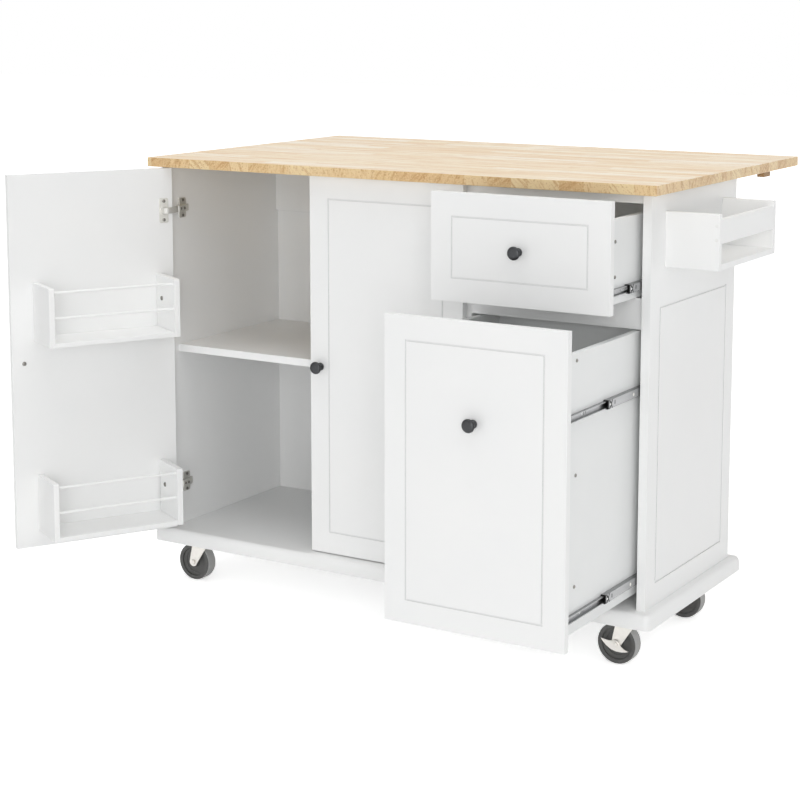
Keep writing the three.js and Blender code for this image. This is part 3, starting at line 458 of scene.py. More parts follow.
KNOB_LENGTH = 24
KNOB_PROFILE = [(0, 0), (8.4, 0), (8.4, 1.6), (7.6, 2.6), (6.2, 4.2), (5.5, 6.5), (5.4, 9), (5.8, 11),
                (7.4, 13), (10.2, 14.6), (12.2, 16), (13, 18), (13, 19.6), (12.4, 21.2), (11, 22.4),
                (8, 23.4), (4, 23.85), (0, KNOB_LENGTH)]
FRONT_THICKNESS = 15
KNOB_SCREW = 4.6
TOUCH_GAP = 0.3
hinge_joints = {joint["name"]: joint for joint in frame["joints"]}
door_frames = {}
for side, open_now in (("left", 1), ("right", 0)):
    joint = hinge_joints[f"{side}_door_hinge"]
    opened = -math.radians(joint["range_deg"][1]) * open_now
    corner = Matrix.Translation((joint["pos_m"][0], joint["pos_m"][1], 0))
    door_frames[side] = corner @ Matrix.Rotation(opened, 4, "Z")
for knob_node, body, outward in (("door_left_knob", "door_left", door_frames["left"].to_3x3()),
                                 ("door_right_knob", "door_right", Matrix.Identity(3)),
                                 ("small_drawer_knob", "small_drawer", Matrix.Identity(3)),
                                 ("bin_drawer_knob", "bin_drawer", Matrix.Identity(3))):
    facing_out = outward.to_4x4() @ Matrix.Rotation(math.radians(90), 4, "X")
    seat = middle(knob_node) - facing_out.to_3x3() @ Vector((0, 0, KNOB_LENGTH / 2000))
    shape = bmesh.new()
    turn(shape, KNOB_PROFILE)
    knob = make_piece(knob_node + "_turned", shape, black_nickel, body,
                      Matrix.Translation(seat) @ facing_out)
    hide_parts(knob_node)
    if body.startswith("door"):
        shape = bmesh.new()
        screw(shape, Matrix.Rotation(math.radians(180), 4, "X"), KNOB_SCREW)
        behind = seat - facing_out.to_3x3() @ Vector((0, 0, (FRONT_THICKNESS + TOUCH_GAP) / 1000))
        make_piece(knob_node + "_screw", shape, screw_zinc, body,
                   Matrix.Translation(behind) @ facing_out)

# ---- door racks ----
# Two spice-jar racks inside the left door: two end boards, a floor and two round rods, lacquered
# white, glued up and screwed to the door. The ends' upper front corners are rounded.
RACK_DEPTH = 104
RACK_HEIGHT = 124
RACK_BOARD = 12
RACK_FLOOR = 9
RACK_CORNER = 4
RACK_NEAR = 28.25
RACK_FAR = 318.25
DOOR_INSIDE = 15.3
CUP_REACH = 17.8
CUP_NOTCH_GAP = 1
ROD_HEIGHTS = (59, 113)
ROD_RADIUS = 3
RACK_SCREW = (47, 74)
RACK_SCREW_RADIUS = 4.8
door_frame = door_frames["left"]
rack_front = DOOR_INSIDE + RACK_DEPTH
for level in ("upper", "lower"):
    rack_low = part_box("door_rack_" + level)[0].z * 1000
    cup_low, cup_high = (corner.z * 1000 - rack_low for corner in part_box("hinge_cup_left_" + level))
    for end_name, end_x in (("hinge_end", RACK_NEAR), ("free_end", RACK_FAR - RACK_BOARD)):
        outline = [(DOOR_INSIDE, 0), (rack_front, 0), (rack_front, RACK_HEIGHT - RACK_CORNER)]
        for angle in (22.5, 45, 67.5, 90):
            outline.append((rack_front - RACK_CORNER * (1 - math.cos(math.radians(angle))),
                            RACK_HEIGHT - RACK_CORNER * (1 - math.sin(math.radians(angle)))))
        outline.append((DOOR_INSIDE, RACK_HEIGHT))
        if end_name == "hinge_end" and 0 < cup_low < RACK_HEIGHT:
            notch_low, notch_high = cup_low - CUP_NOTCH_GAP, cup_high + CUP_NOTCH_GAP
            outline += [(DOOR_INSIDE, notch_high), (CUP_REACH, notch_high), (CUP_REACH, notch_low),
                        (DOOR_INSIDE, notch_low)]
        upright = Matrix(((0, 0, 1, end_x / 1000), (1, 0, 0, 0), (0, 1, 0, rack_low / 1000), (0, 0, 0, 1)))
        shape = bmesh.new()
        board(shape, outline, 0, RACK_BOARD, upright)
        piece = make_piece(f"rack_{level}_{end_name}", shape, white_lacquer, "door_left",
                           door_frame, eased_mm=0.6)
        if end_name == "hinge_end":
            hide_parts("door_rack_" + level)
    shape = bmesh.new()
    board(shape, rounded(RACK_NEAR + RACK_BOARD, RACK_FAR - RACK_BOARD, DOOR_INSIDE, rack_front), rack_low,
          rack_low + RACK_FLOOR)
    make_piece(f"rack_{level}_floor", shape, white_lacquer, "door_left", door_frame,
               eased_mm=0.6)
    for number, height in enumerate(ROD_HEIGHTS):
        half = (RACK_FAR - RACK_NEAR - RACK_BOARD) / 2
        lie = Matrix.Translation(((RACK_NEAR + RACK_FAR) / 2000, (rack_front - RACK_BOARD) / 1000,
                                  (rack_low + height) / 1000)) @ Matrix.Rotation(math.radians(90), 4, "Y")
        shape = bmesh.new()
        turn(shape, [(0, -half), (ROD_RADIUS, -half), (ROD_RADIUS, half), (0, half)], lie, 24)
        make_piece(f"rack_{level}_rod_{number + 1}", shape, white_lacquer, "door_left",
                   door_frame)
    shape = bmesh.new()
    for end_x, side in ((RACK_NEAR + RACK_BOARD, 1), (RACK_FAR - RACK_BOARD, -1)):
        seat = Matrix.Translation((end_x / 1000, RACK_SCREW[0] / 1000, (rack_low + RACK_SCREW[1]) / 1000))
        screw(shape, seat @ Matrix.Rotation(math.radians(90 * side), 4, "Y"), RACK_SCREW_RADIUS)
    make_piece(f"rack_{level}_screws", shape, screw_zinc, "door_left", door_frame)

# ---- concealed hinges ----
# Nickel plated pressed steel: a cup plate screwed to the door, an arm on a winged plate screwed to
# the panel, and a bent strap between them, shaped once for where each door stands.

# Bright tin-nickel on the strap: paler and more diffuse than the plates, so it reads almost white.
STRAP_METALLIC = 0.45
strap_metal = plated("bright_tin_nickel_plated_strap", "#c9c8c4", "#d6d5d1", (0.45, 0.6), PLATE_HAZE_MM,
                     STRAP_METALLIC)

CUP_CENTRE = 20.5
CUP_PLATE = (21, 54)
CUP_CORNER = 3.5
CUP_RIM = [(9.4, 15.4), (9.4, 17.1), (8.4, 17.5), (7.6, 17.0), (7.2, 16.0), (0, 15.8)]
CUP_SCREW = 20.5
CUP_SCREW_RADIUS = 3.6
CUP_THICKNESS = 1.2
MOUNT_PLATE = (23, 44)
MOUNT_START = 14
MOUNT_CORNER = 4
MOUNT_THICKNESS = 3
ARM_PROFILE = [(0, 4), (0, 11.5), (2.5, 13), (24, 13), (34, 10.5), (42, 6.5), (44, 3.2), (44, 1.5), (12, 1.5)]
ARM_WIDTH = 14
ARM_SCREWS = ((25.5, -17, 3, 3.4), (25.5, 17, 3, 3.4), (8, 0, 13, 2.8), (19, 0, 13, 3.2))
STRAP_WIDTH = 13
STRAP_STEEL = 2.2
STRAP_STEPS = 14
STRAP_ON_ARM = (8, 2)
STRAP_ON_CUP = 16.8
OPEN_ARM_BEND, OPEN_CUP_BEND, OPEN_CUP_LIFT = Vector((9, -14, 0)), Vector((2, 4, 0)), 15
SHUT_ARM_BEND, SHUT_CUP_LIFT = Vector((-1, 6, 0)), 8
for side, reach in (("left", 1), ("right", -1)):
    door_frame = door_frames[side]
    for level in ("upper", "lower"):
        height = middle(f"hinge_cup_{side}_{level}").z * 1000
        cup_x = reach * CUP_CENTRE
        flat = Matrix(((1, 0, 0, cup_x / 1000), (0, 0, 1, 0), (0, 1, 0, height / 1000), (0, 0, 0, 1)))
        shape = bmesh.new()
        w, h = CUP_PLATE
        cup_face = DOOR_INSIDE + CUP_THICKNESS
        board(shape, rounded(-w / 2, w / 2, -h / 2, h / 2, CUP_CORNER), DOOR_INSIDE, cup_face, flat)
        turn(shape, CUP_RIM, flat, 40)
        cup = make_piece(f"cup_plate_{side}_{level}", shape, nickel, f"door_{side}",
                         door_frame, eased_mm=0.3)
        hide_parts(f"hinge_cup_{side}_{level}")
        shape = bmesh.new()
        for offset in (-CUP_SCREW, CUP_SCREW):
            seat = Matrix.Translation((0, offset / 1000, cup_face / 1000))
            screw(shape, flat @ seat, CUP_SCREW_RADIUS)
        make_piece(f"cup_screws_{side}_{level}", shape, screw_zinc, f"door_{side}",
                   door_frame)

        arm_low, arm_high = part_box(f"hinge_arm_{side}_{level}")
        face = (arm_low.x if reach > 0 else arm_high.x) * 1000
        front = arm_low.y * 1000
        panel = Matrix(((0, 0, reach, face / 1000), (1, 0, 0, front / 1000), (0, 1, 0, height / 1000),
                        (0, 0, 0, 1)))
        arm_side = Matrix(((0, reach, 0, face / 1000), (1, 0, 0, front / 1000), (0, 0, 1, height / 1000),
                           (0, 0, 0, 1)))
        shape = bmesh.new()
        w, h = MOUNT_PLATE
        board(shape, rounded(MOUNT_START, MOUNT_START + w, -h / 2, h / 2, MOUNT_CORNER), 0, MOUNT_THICKNESS,
              panel)
        board(shape, ARM_PROFILE, -ARM_WIDTH / 2, ARM_WIDTH / 2, arm_side)
        arm = make_piece(f"hinge_body_{side}_{level}", shape, nickel, "island", eased_mm=0.4)
        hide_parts(f"hinge_arm_{side}_{level}")
        shape = bmesh.new()
        for along_arm, up, lift, radius in ARM_SCREWS:
            screw(shape, panel @ Matrix.Translation((along_arm / 1000, up / 1000, lift / 1000)), radius)
        make_piece(f"hinge_body_screws_{side}_{level}", shape, screw_zinc, "island")

        start = Vector((face + reach * STRAP_ON_ARM[0], front + STRAP_ON_ARM[1], 0))
        end = door_frame @ Vector((cup_x / 1000, STRAP_ON_CUP / 1000, 0)) * 1000
        inward = door_frame.to_3x3() @ Vector((0, 1, 0))
        if side == "left":
            bends = (start + OPEN_ARM_BEND, end + inward * OPEN_CUP_LIFT + OPEN_CUP_BEND)
        else:
            bends = (start + SHUT_ARM_BEND, end + inward * SHUT_CUP_LIFT)
        curve = []
        for i in range(STRAP_STEPS + 1):
            t = i / STRAP_STEPS
            shares = [(1 - t) ** 3, 3 * t * (1 - t) ** 2, 3 * t * t * (1 - t), t ** 3]
            curve.append(sum((share * at for share, at in zip(shares, (start, *bends, end))), Vector()))
        shape = bmesh.new()
        rows = []
        for i, at in enumerate(curve):
            ahead = curve[min(i + 1, STRAP_STEPS)] - curve[max(i - 1, 0)]
            across = Vector((-ahead.y, ahead.x, 0)).normalized() * STRAP_STEEL / 2
            rows.append([shape.verts.new(Vector((corner.x, corner.y, height + up)) / 1000)
                         for corner, up in ((at - across, -STRAP_WIDTH / 2), (at + across, -STRAP_WIDTH / 2),
                                            (at + across, STRAP_WIDTH / 2), (at - across, STRAP_WIDTH / 2))])
        for low, high in zip(rows, rows[1:]):
            for i in range(4):
                shape.faces.new((low[i], low[(i + 1) % 4], high[(i + 1) % 4], high[i]))
        shape.faces.new(rows[0])
        shape.faces.new(rows[-1][::-1])
        strap = make_piece(f"hinge_strap_{side}_{level}", shape, strap_metal, None)
        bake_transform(strap)

# ---- leaf hinge ----
# A piano hinge of nickel plated steel under the seam of worktop and leaf, its two long plates
# screwed up into the boards every 60 mm.
dress(["leaf_hinge_fixed", "leaf_hinge_moving"], nickel, 0.2)
PIANO_PITCH = 60
PIANO_SCREW = 2.6
PIANO_STEEL = 1.5
PIANO_SCREW_LINE = 8
for part, body in (("fixed", "island"), ("moving", "leaf")):
    low, high = (corner * 1000 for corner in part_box("leaf_hinge_" + part))
    line = low.y + PIANO_SCREW_LINE if part == "fixed" else high.y - PIANO_SCREW_LINE
    count = int((high.x - low.x) / PIANO_PITCH)
    shape = bmesh.new()
    for i in range(count):
        at_x = (low.x + high.x) / 2 + (i - (count - 1) / 2) * PIANO_PITCH
        seat = Matrix.Translation((at_x / 1000, line / 1000, (high.z - PIANO_STEEL) / 1000))
        screw(shape, seat @ Matrix.Rotation(math.radians(180), 4, "X"), PIANO_SCREW)
    make_piece(f"leaf_hinge_screws_{part}", shape, screw_zinc, body)

# ---- drawers ----
# Lacquered MDF fronts with the same routed line frame, on boxes of white faced board that are
# screwed together through their sides.

# Melamine faced board: a slightly greyer white than the lacquer, with the fine pearl of its film,
# which is really about 0.3 mm and is drawn at 1.1 mm so that it shows.
BOARD_PEARL_MM = 1.1
BOARD_CLOUD_MM = 110
box_board, tree = new_finish("white_melamine_faced_board")
point = add_node(tree, "TexCoord").outputs["Object"]
clouds = add_node(tree, "TexNoise", {"Vector": point, "Scale": 1000 / BOARD_CLOUD_MM, "Detail": 2.0})
tint = add_node(tree, "Mix", {"Factor": clouds, "A": linear("#eaecec"), "B": linear("#f0f1f0")},
                data_type="RGBA")
pearl = add_node(tree, "TexNoise", {"Vector": point, "Scale": 1000 / BOARD_PEARL_MM, "Detail": 1.0})
gloss = add_node(tree, "MapRange", {"Value": pearl, "To Min": 0.4, "To Max": 0.52})
relief = add_node(tree, "Bump", {"Strength": 0.06, "Distance": 0.0002, "Height": pearl})
surface = add_node(tree, "BsdfPrincipled", {"Base Color": tint, "Roughness": gloss, "IOR": 1.5,
                                            "Normal": relief})
add_node(tree, "OutputMaterial", {"Surface": surface})
dress(["small_drawer_front", "bin_drawer_front"], white_lacquer, 0.35)
dress(["small_drawer_box", "bin_drawer_box", "small_drawer_bottom", "bin_drawer_bottom"], box_board, 0.4)

# How far each box's screws stand behind its front edge and below its top.
BOX_SCREW = 3.4
BOX_SCREW_PLACES = (("small_drawer", 24, (41, 107)), ("bin_drawer", 40, (13, 223, 430)))
for drawer, setback, drops in BOX_SCREW_PLACES:
    low, high = (corner * 1000 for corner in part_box(drawer + "_box"))
    shape = bmesh.new()
    for side_x, side in ((high.x, 1), (low.x, -1)):
        for drop in drops:
            seat = Matrix.Translation((side_x / 1000, (low.y + setback) / 1000, (high.z - drop) / 1000))
            screw(shape, seat @ Matrix.Rotation(math.radians(90 * side), 4, "Y"), BOX_SCREW)
    make_piece(drawer + "_box_screws", shape, screw_zinc, drawer)

# ---- drawer slides ----
# Three-part ball-bearing slides rolled from zinc plated steel. The cabinet member is screwed to the
# panel, the middle one runs in it, and the drawer member, with its slots, is screwed to the box.

# Zinc plate on rolled steel: mid grey, with a dull shine and long faint lines along the rolling,
# which are really some tenths of a millimetre wide and are drawn at 1.6 mm so that they show.
ROLL_LINE_MM = (1.6, 90)
slide_zinc, tree = new_finish("zinc_plated_rolled_steel")
point = add_node(tree, "TexCoord").outputs["Object"]
rolled_space = add_node(tree, "Mapping", {"Vector": point, "Scale": (
    1000 / ROLL_LINE_MM[0], 1000 / ROLL_LINE_MM[1], 1000 / ROLL_LINE_MM[0])})
rolled = add_node(tree, "TexNoise", {"Vector": rolled_space, "Scale": 1.0, "Detail": 2.0})
tint = add_node(tree, "Mix", {"Factor": rolled, "A": linear("#8b8c8d"), "B": linear("#a9aaab")},
                data_type="RGBA")
gloss = add_node(tree, "MapRange", {"Value": rolled, "To Min": 0.3, "To Max": 0.45})
surface = add_node(tree, "BsdfPrincipled", {"Base Color": tint, "Metallic": 1.0, "Roughness": gloss})
add_node(tree, "OutputMaterial", {"Surface": surface})
dress([n for n in frame["nodes"] if n.endswith("_cabinet")], slide_zinc, 0.3)


def moulded(name, dark, pale, grain, relief, polish):
    """A moulded plastic finish: two close tones in a fine grain, which also stands up a little."""
    finish, tree = new_finish(name)
    point = add_node(tree, "TexCoord").outputs["Object"]
    speckle = add_node(tree, "TexNoise", {"Vector": point, **grain})
    tint = add_node(tree, "Mix", {"Factor": speckle, "A": linear(dark), "B": linear(pale)}, data_type="RGBA")
    bump = add_node(tree, "Bump", {**relief, "Height": speckle})
    surface = add_node(tree, "BsdfPrincipled", {"Base Color": tint, "Normal": bump, **polish})
    add_node(tree, "OutputMaterial", {"Surface": surface})
    return finish


# Moulded acetal bumpers: black, slightly waxy, with a fine grain that hardly shines. It is really
# about 0.1 mm and is drawn at 1.4 mm so that it shows.
ACETAL_GRAIN_MM = 1.4
ACETAL_GRAIN = {"Scale": 1000 / ACETAL_GRAIN_MM, "Detail": 2.0}
ACETAL_RELIEF = {"Strength": 0.1, "Distance": 0.0001}
acetal = moulded("black_moulded_acetal", "#131313", "#1f1f1f", ACETAL_GRAIN, ACETAL_RELIEF,
                 {"Roughness": 0.6, "IOR": 1.48, "Specular IOR Level": 0.2})

# Moulded nylon for rivets and screw caps: white, with the same faint grain.
white_nylon = moulded("white_moulded_nylon", "#e9e9e7", "#f2f2f0", ACETAL_GRAIN, ACETAL_RELIEF,
                      {"Roughness": 0.4, "IOR": 1.53})

SLIDE_LENGTH = 385
MIDDLE = {"half": 8.5, "depth": 10.2, "steel": 1.5}
INNER = {"half": 6.6, "depth": 7.0, "steel": 1.2}
MEMBER_SETBACK = 1.5
BUMPER = (-3, 0)
BUMPER_WALL = 1.7
LATCH = [(1, -8), (5, -8), (9, -2.5), (13, -8), (16, -8), (12, 0), (16, 8), (13, 8), (9, 2.5), (5, 8), (1, 8),
         (4, 0)]
STOP = (24, 27, 3)
STUD_FACE = (-0.15, 0.5)
RIVET = (6, 2.6)
RIVET_DOME = (0.5, 0.18)
REAR_RIVET = (108, 3.4)
REAR_RIVET_DOME = (0.6, 0.25)
CORNER_STEPS = (0, 30, 60, 90)
MIDDLE_SLOTS = ((180, 196, 2.6),)
INNER_SLOTS = {"small": ((48, 78, 3),), "bin_upper": ((57, 68, 3.6), (73, 76, 2.5)),
               "bin_lower": ((57, 68, 3.6), (73, 76, 2.5))}
for name, drawer, middles in (("small", "small_drawer", "small_slides"),
                              ("bin_upper", "bin_drawer", "bin_slides"),
                              ("bin_lower", "bin_drawer", "bin_slides")):
    for side, open_way in (("left", 1), ("right", -1)):
        node = f"{name}_slide_{side}_middle"
        low, high = (corner * 1000 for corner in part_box(node))
        box_low, box_high = (corner * 1000 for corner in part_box(drawer + "_box"))
        height = (low.z + high.z) / 2
        middle_x, box_x = (low.x, box_low.x) if open_way > 0 else (high.x, box_high.x)
        for piece_name, body, sizes, web_x, way, front_y, slots in (
                (node + "_rolled", middles, MIDDLE, middle_x, open_way, low.y, MIDDLE_SLOTS),
                (f"{name}_slide_{side}_inner", drawer, INNER, box_x, -open_way, box_low.y + MEMBER_SETBACK,
                 INNER_SLOTS[name])):
            half, depth, steel = sizes["half"], sizes["depth"], sizes["steel"]
            inside = half - steel
            plate = Matrix(((0, 0, way, web_x / 1000), (1, 0, 0, front_y / 1000), (0, 1, 0, height / 1000),
                            (0, 0, 0, 1)))
            section = Matrix(((way, 0, 0, web_x / 1000), (0, 0, 1, front_y / 1000), (0, 1, 0, height / 1000),
                              (0, 0, 0, 1)))
            shape = bmesh.new()
            board(shape, rounded(0, SLIDE_LENGTH, -inside, inside), 0, steel, plate,
                  [rounded(y0, y1, -slot, slot, min(slot, (y1 - y0) / 2) * 0.98) for y0, y1, slot in slots])
            for up in (-1, 1):
                bend = [(steel - steel * math.sin(math.radians(step)),
                         up * (inside + steel * math.cos(math.radians(step))))
                        for step in reversed(CORNER_STEPS)]
                board(shape, bend + [(depth, up * half), (depth, up * inside)], 0, SLIDE_LENGTH, section)
            member = make_piece(piece_name, shape, slide_zinc, body)
            if body == middles:
                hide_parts(node)
                front = section
                web = plate
        outer, inner, deep = MIDDLE["half"], MIDDLE["half"] - BUMPER_WALL, MIDDLE["depth"]
        shape = bmesh.new()
        board(shape, [(0, -outer + 1), (1, -outer), (deep, -outer), (deep, -inner), (BUMPER_WALL, -inner),
                      (BUMPER_WALL, inner), (deep, inner), (deep, outer), (1, outer), (0, outer - 1)],
              *BUMPER, front)
        board(shape, LATCH, *STUD_FACE, web)
        board(shape, rounded(STOP[0], STOP[1], -STOP[2], STOP[2] + 2, 1), *STUD_FACE, web)
        make_piece(node + "_bumper", shape, acetal, middles, eased_mm=0.2)
        for ending, (along, radius), (slope, dome), finish, slot in (
                ("_rivet", RIVET, RIVET_DOME, white_nylon, "drawer_white"),
                ("_rear_rivet", REAR_RIVET, REAR_RIVET_DOME, nickel, "hinge_nickel")):
            shape = bmesh.new()
            turn(shape, [(radius, STUD_FACE[1]), (radius, -0.1), (radius - slope, -dome), (0, -dome)],
                 web @ Matrix.Translation((along / 1000, 0, 0)), 20)
            make_piece(node + ending, shape, finish, middles)

# ---- spice rack ----
# A small open tray on the right side, of the same lacquered board: two ends, a floor, and a rail
# across its front, dowelled and screwed, with the screws under white plastic caps.
SPICE_BOARD = 12
SPICE_RAIL = (841.5, 887.5)
SPICE_CAPS = (849, 876)
CAP_RADIUS = 3.6
low, high = (corner * 1000 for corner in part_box("spice_rack"))
for end_name, end_y in (("near_end", low.y), ("far_end", high.y - SPICE_BOARD)):
    shape = bmesh.new()
    board(shape, rounded(low.x, high.x, low.z, high.z), 0, SPICE_BOARD,
          Matrix(((1, 0, 0, 0), (0, 0, 1, end_y / 1000), (0, 1, 0, 0), (0, 0, 0, 1))))
    end = make_piece("spice_rack_" + end_name, shape, white_lacquer, "island", eased_mm=0.8)
    if end_name == "near_end":
        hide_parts("spice_rack")
shape = bmesh.new()
board(shape, rounded(low.x, high.x, low.y + SPICE_BOARD, high.y - SPICE_BOARD), low.z, low.z + SPICE_BOARD)
make_piece("spice_rack_floor", shape, white_lacquer, "island", eased_mm=0.6)
shape = bmesh.new()
board(shape, rounded(high.x - SPICE_BOARD, high.x, low.y + SPICE_BOARD, high.y - SPICE_BOARD), *SPICE_RAIL)
make_piece("spice_rack_rail", shape, white_lacquer, "island", eased_mm=0.8)
shape = bmesh.new()
for at_y, way in ((low.y, 90), (high.y, -90)):
    for at_z in SPICE_CAPS:
        seat = Matrix.Translation(((high.x - SPICE_BOARD / 2) / 1000, at_y / 1000, at_z / 1000))
        turn(shape, [(CAP_RADIUS, 0), (CAP_RADIUS, -0.2), (CAP_RADIUS - 0.6, 0.1), (0, 0.25)],
             seat @ Matrix.Rotation(math.radians(way), 4, "X"), 24)
make_piece("spice_rack_caps", shape, white_nylon, "island")

# ---- leaf supports ----
# Swinging boards in the same lacquer, stored flat behind the cabinet, each on two small butt hinges.
# They swing out under the leaf, below two blocks of plain wood that are screwed to it.

# Sawn rubberwood without lacquer: browner and matt, with coarse grain along the block.
SAW_GRAIN_MM = (2.8, 33)
bare_wood, tree = new_finish("sawn_rubberwood_unfinished")
point = add_node(tree, "TexCoord").outputs["Object"]
grain_space = add_node(tree, "Mapping", {"Vector": point, "Scale": (
    1000 / SAW_GRAIN_MM[0], 1000 / SAW_GRAIN_MM[1], 1000 / SAW_GRAIN_MM[0])})
grain = add_node(tree, "TexNoise", {"Vector": grain_space, "Scale": 1.0, "Detail": 3.0})
tint = add_node(tree, "Mix", {"Factor": grain, "A": linear("#b7946b"), "B": linear("#8d6c46")},
                data_type="RGBA")
relief = add_node(tree, "Bump", {"Strength": 0.15, "Distance": 0.0003, "Height": grain})
surface = add_node(tree, "BsdfPrincipled", {"Base Color": tint, "Roughness": 0.6, "IOR": 1.5,
                                            "Normal": relief})
add_node(tree, "OutputMaterial", {"Surface": surface})
dress(["leaf_support_left", "leaf_support_right"], white_lacquer, 0.7)
dress(["leaf_block_left", "leaf_block_right"], bare_wood, 0.6)

BUTT_RISES = (3, 33)
BUTT_HEIGHT = 24
BUTT_LEAF = (1.6, 14)
BUTT_STEEL = 0.2
BUTT_KNUCKLE = 2.2
KNUCKLE_LENGTH = BUTT_HEIGHT / 3
KNUCKLE_EDGE = 0.2
KNUCKLE_GROOVE = 0.4
BUTT_SCREW = [(1.8, BUTT_STEEL), (1.6, BUTT_STEEL + 0.05), (0.9, BUTT_STEEL + 0.05), (0.5, BUTT_STEEL),
              (0, BUTT_STEEL)]
BUTT_SCREW_LINE = 8
BUTT_SCREW_INSET = 5
PANEL_GAP = 0.5
for side, way in (("left", -1), ("right", 1)):
    pin_x, pin_y, _ = (value * 1000 for value in hinge_joints[f"support_{side}_swing"]["pos_m"])
    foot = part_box("leaf_support_" + side)[0].z * 1000
    fixed, moving = bmesh.new(), bmesh.new()
    for at_z in (foot + rise for rise in BUTT_RISES):
        stand = Matrix.Translation((pin_x / 1000, pin_y / 1000, at_z / 1000))
        knuckles = [(0, 0)]
        for start in (0, KNUCKLE_LENGTH, 2 * KNUCKLE_LENGTH):
            end = start + KNUCKLE_LENGTH
            knuckles += [(BUTT_KNUCKLE, start + KNUCKLE_EDGE), (BUTT_KNUCKLE, end - KNUCKLE_EDGE),
                         (BUTT_KNUCKLE - KNUCKLE_GROOVE, end - KNUCKLE_EDGE / 2),
                         (BUTT_KNUCKLE - KNUCKLE_GROOVE, end + KNUCKLE_EDGE / 2)]
        turn(fixed, knuckles[:-1] + [(0, BUTT_HEIGHT)], stand, 20)
        on_panel = Matrix(((way, 0, 0, pin_x / 1000), (0, 0, 1, (pin_y - PANEL_GAP) / 1000),
                           (0, 1, 0, at_z / 1000), (0, 0, 0, 1)))
        on_support = Matrix(((0, 0, way, pin_x / 1000), (1, 0, 0, pin_y / 1000), (0, 1, 0, at_z / 1000),
                             (0, 0, 0, 1)))
        for shape, place in ((fixed, on_panel), (moving, on_support)):
            board(shape, rounded(*BUTT_LEAF, 0, BUTT_HEIGHT, 1), 0, BUTT_STEEL, place)
            for screw_z in (BUTT_SCREW_INSET, BUTT_HEIGHT - BUTT_SCREW_INSET):
                seat = Matrix.Translation((BUTT_SCREW_LINE / 1000, screw_z / 1000, 0))
                turn(shape, BUTT_SCREW, place @ seat, 20)
    make_piece(f"support_{side}_hinge_fixed", fixed, nickel, "island")
    make_piece(f"support_{side}_hinge_moving", moving, nickel, f"support_{side}")

# ---- casters ----
# Swivel casters: a pressed zinc plated fork on its stem, a grey rubber tyre on a dark moulded wheel,
# an axle bolt with nuts, and a pressed foot brake on two of them.

# Bright zinc plate on a pressing: pale warm grey, satin, with a faint cloudy spangle.
ZINC_SPANGLE_MM = 8
bright_zinc = plated("bright_zinc_plated_pressing", "#d0cdc8", "#dedbd6", (0.36, 0.52), ZINC_SPANGLE_MM)

# Moulded polypropylene wheel: dark grey and dull, with a slight mottle, which is really about 1 mm
# and is drawn at 3.3 mm so that it shows.
MOTTLE_MM = 3.3
MOTTLE = {"Scale": 1000 / MOTTLE_MM, "Detail": 3.0}
wheel_plastic = moulded("dark_grey_moulded_polypropylene", "#4c4c4b", "#5a5a58", MOTTLE,
                        {"Strength": 0.08, "Distance": 0.0002}, {"Roughness": 0.5, "IOR": 1.49})

# Grey thermoplastic rubber tyre: quite matt, with a fine bloom. It is lighter than the wheel partly
# in its own grey and partly as a painted sheen for the light that the tread catches.
tyre_rubber_with_painted_sheen = moulded("grey_thermoplastic_rubber_painted_sheen", "#a4a4a3", "#b6b6b5", MOTTLE,
                      {"Strength": 0.1, "Distance": 0.0002}, {"Roughness": 0.62, "IOR": 1.5})

WHEEL_RADIUS = 41.5
WHEEL_BORE = 4.4
WHEEL_SIDE = [(40.3, 12.6), (39.6, 12.9), (33.2, 12.9), (32.4, 12.4), (31.6, 8.6), (30.8, 8.2), (24.6, 7.6),
              (24.2, 6.4), (14, 6.0), (12.4, 6.6), (11.8, 12.4), (11.2, 12.9), (WHEEL_BORE, 12.9)]
TYRE_SECTION = [(40.2, -12.4), (41.0, -12.1), (41.4, -10.6), (WHEEL_RADIUS, -6), (WHEEL_RADIUS, 6),
                (41.4, 10.6), (41.0, 12.1), (40.2, 12.4)]
NUT_CORNER = 6
NUT_OUTLINE = [(NUT_CORNER * math.cos(math.radians(60 * i)), NUT_CORNER * math.sin(math.radians(60 * i)))
               for i in range(6)]
NUT_SEATS = (16.3, 19.2)
BRAKE_NUT_SEATS = (19.7, 22.2)
BOSS = [(9, 18.4), (9, 19.0), (8.2, 19.6), (0, 19.6)]
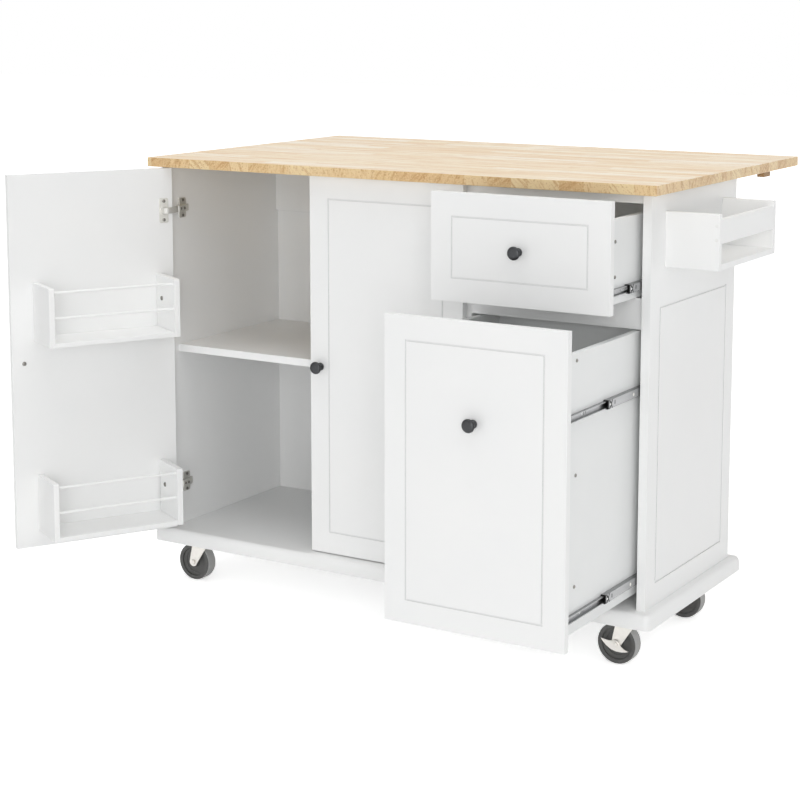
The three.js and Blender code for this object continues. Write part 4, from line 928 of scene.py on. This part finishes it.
LEVER_OUTLINE = [(-32, 8.5), (-27, 1.5), (-19, -5.8), (-9, -11.6), (2, -14.4), (14, -14.3), (23, -12.6),
                 (28.5, -10.5), (20, -8.2), (12.5, -3.2), (8.4, 3.2), (4.5, 7.8), (-1, 9), (-6.4, 6.8),
                 (-14.5, 5.6), (-24, 7)]
dress([n for n in frame["nodes"] if n.startswith("caster_fork")], bright_zinc, 0.4)
for corner_name in ("front_left", "front_right", "rear_left", "rear_right"):
    braked = "caster_brake_" + corner_name in frame["nodes"]
    hub = Matrix.Translation(middle("caster_wheel_" + corner_name))
    axle = hub @ Matrix.Rotation(math.radians(90), 4, "X")
    shape = bmesh.new()
    turn(shape, WHEEL_SIDE + [(r, -h) for r, h in reversed(WHEEL_SIDE)] + [WHEEL_SIDE[0]], axle, 72)
    bmesh.ops.remove_doubles(shape, verts=shape.verts, dist=1e-6)
    core = make_piece("wheel_core_" + corner_name, shape, wheel_plastic, "wheel_" + corner_name)
    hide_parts("caster_wheel_" + corner_name)
    shape = bmesh.new()
    turn(shape, TYRE_SECTION + [TYRE_SECTION[0]], axle, 72)
    bmesh.ops.remove_doubles(shape, verts=shape.verts, dist=1e-6)
    make_piece("tyre_" + corner_name, shape, tyre_rubber_with_painted_sheen, "wheel_" + corner_name)
    shape = bmesh.new()
    for way in (1, -1):
        outward = hub @ Matrix.Rotation(math.radians(90 * way), 4, "X")
        near, far = BRAKE_NUT_SEATS if braked and way > 0 else NUT_SEATS
        board(shape, NUT_OUTLINE, near, far, outward)
        turn(shape, [(3.2, far - 0.2), (3.2, far + 0.5), (2.4, far + 0.9), (0, far + 1)], outward, 20)
    make_piece("axle_nuts_" + corner_name, shape, bright_zinc, "fork_" + corner_name,
               eased_mm=0.2)
    if braked:
        brake_low, brake_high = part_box("caster_brake_" + corner_name)
        plate = Matrix(((1, 0, 0, hub.translation.x), (0, 0, 1, brake_low.y), (0, 1, 0, hub.translation.z),
                        (0, 0, 0, 1)))
        shape = bmesh.new()
        board(shape, LEVER_OUTLINE, 0, (brake_high.y - brake_low.y) * 1000, plate)
        turn(shape, BOSS, axle, 32)
        lever = make_piece("brake_lever_" + corner_name, shape, bright_zinc, "brake_" + corner_name,
                           eased_mm=0.4)
        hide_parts("caster_brake_" + corner_name)
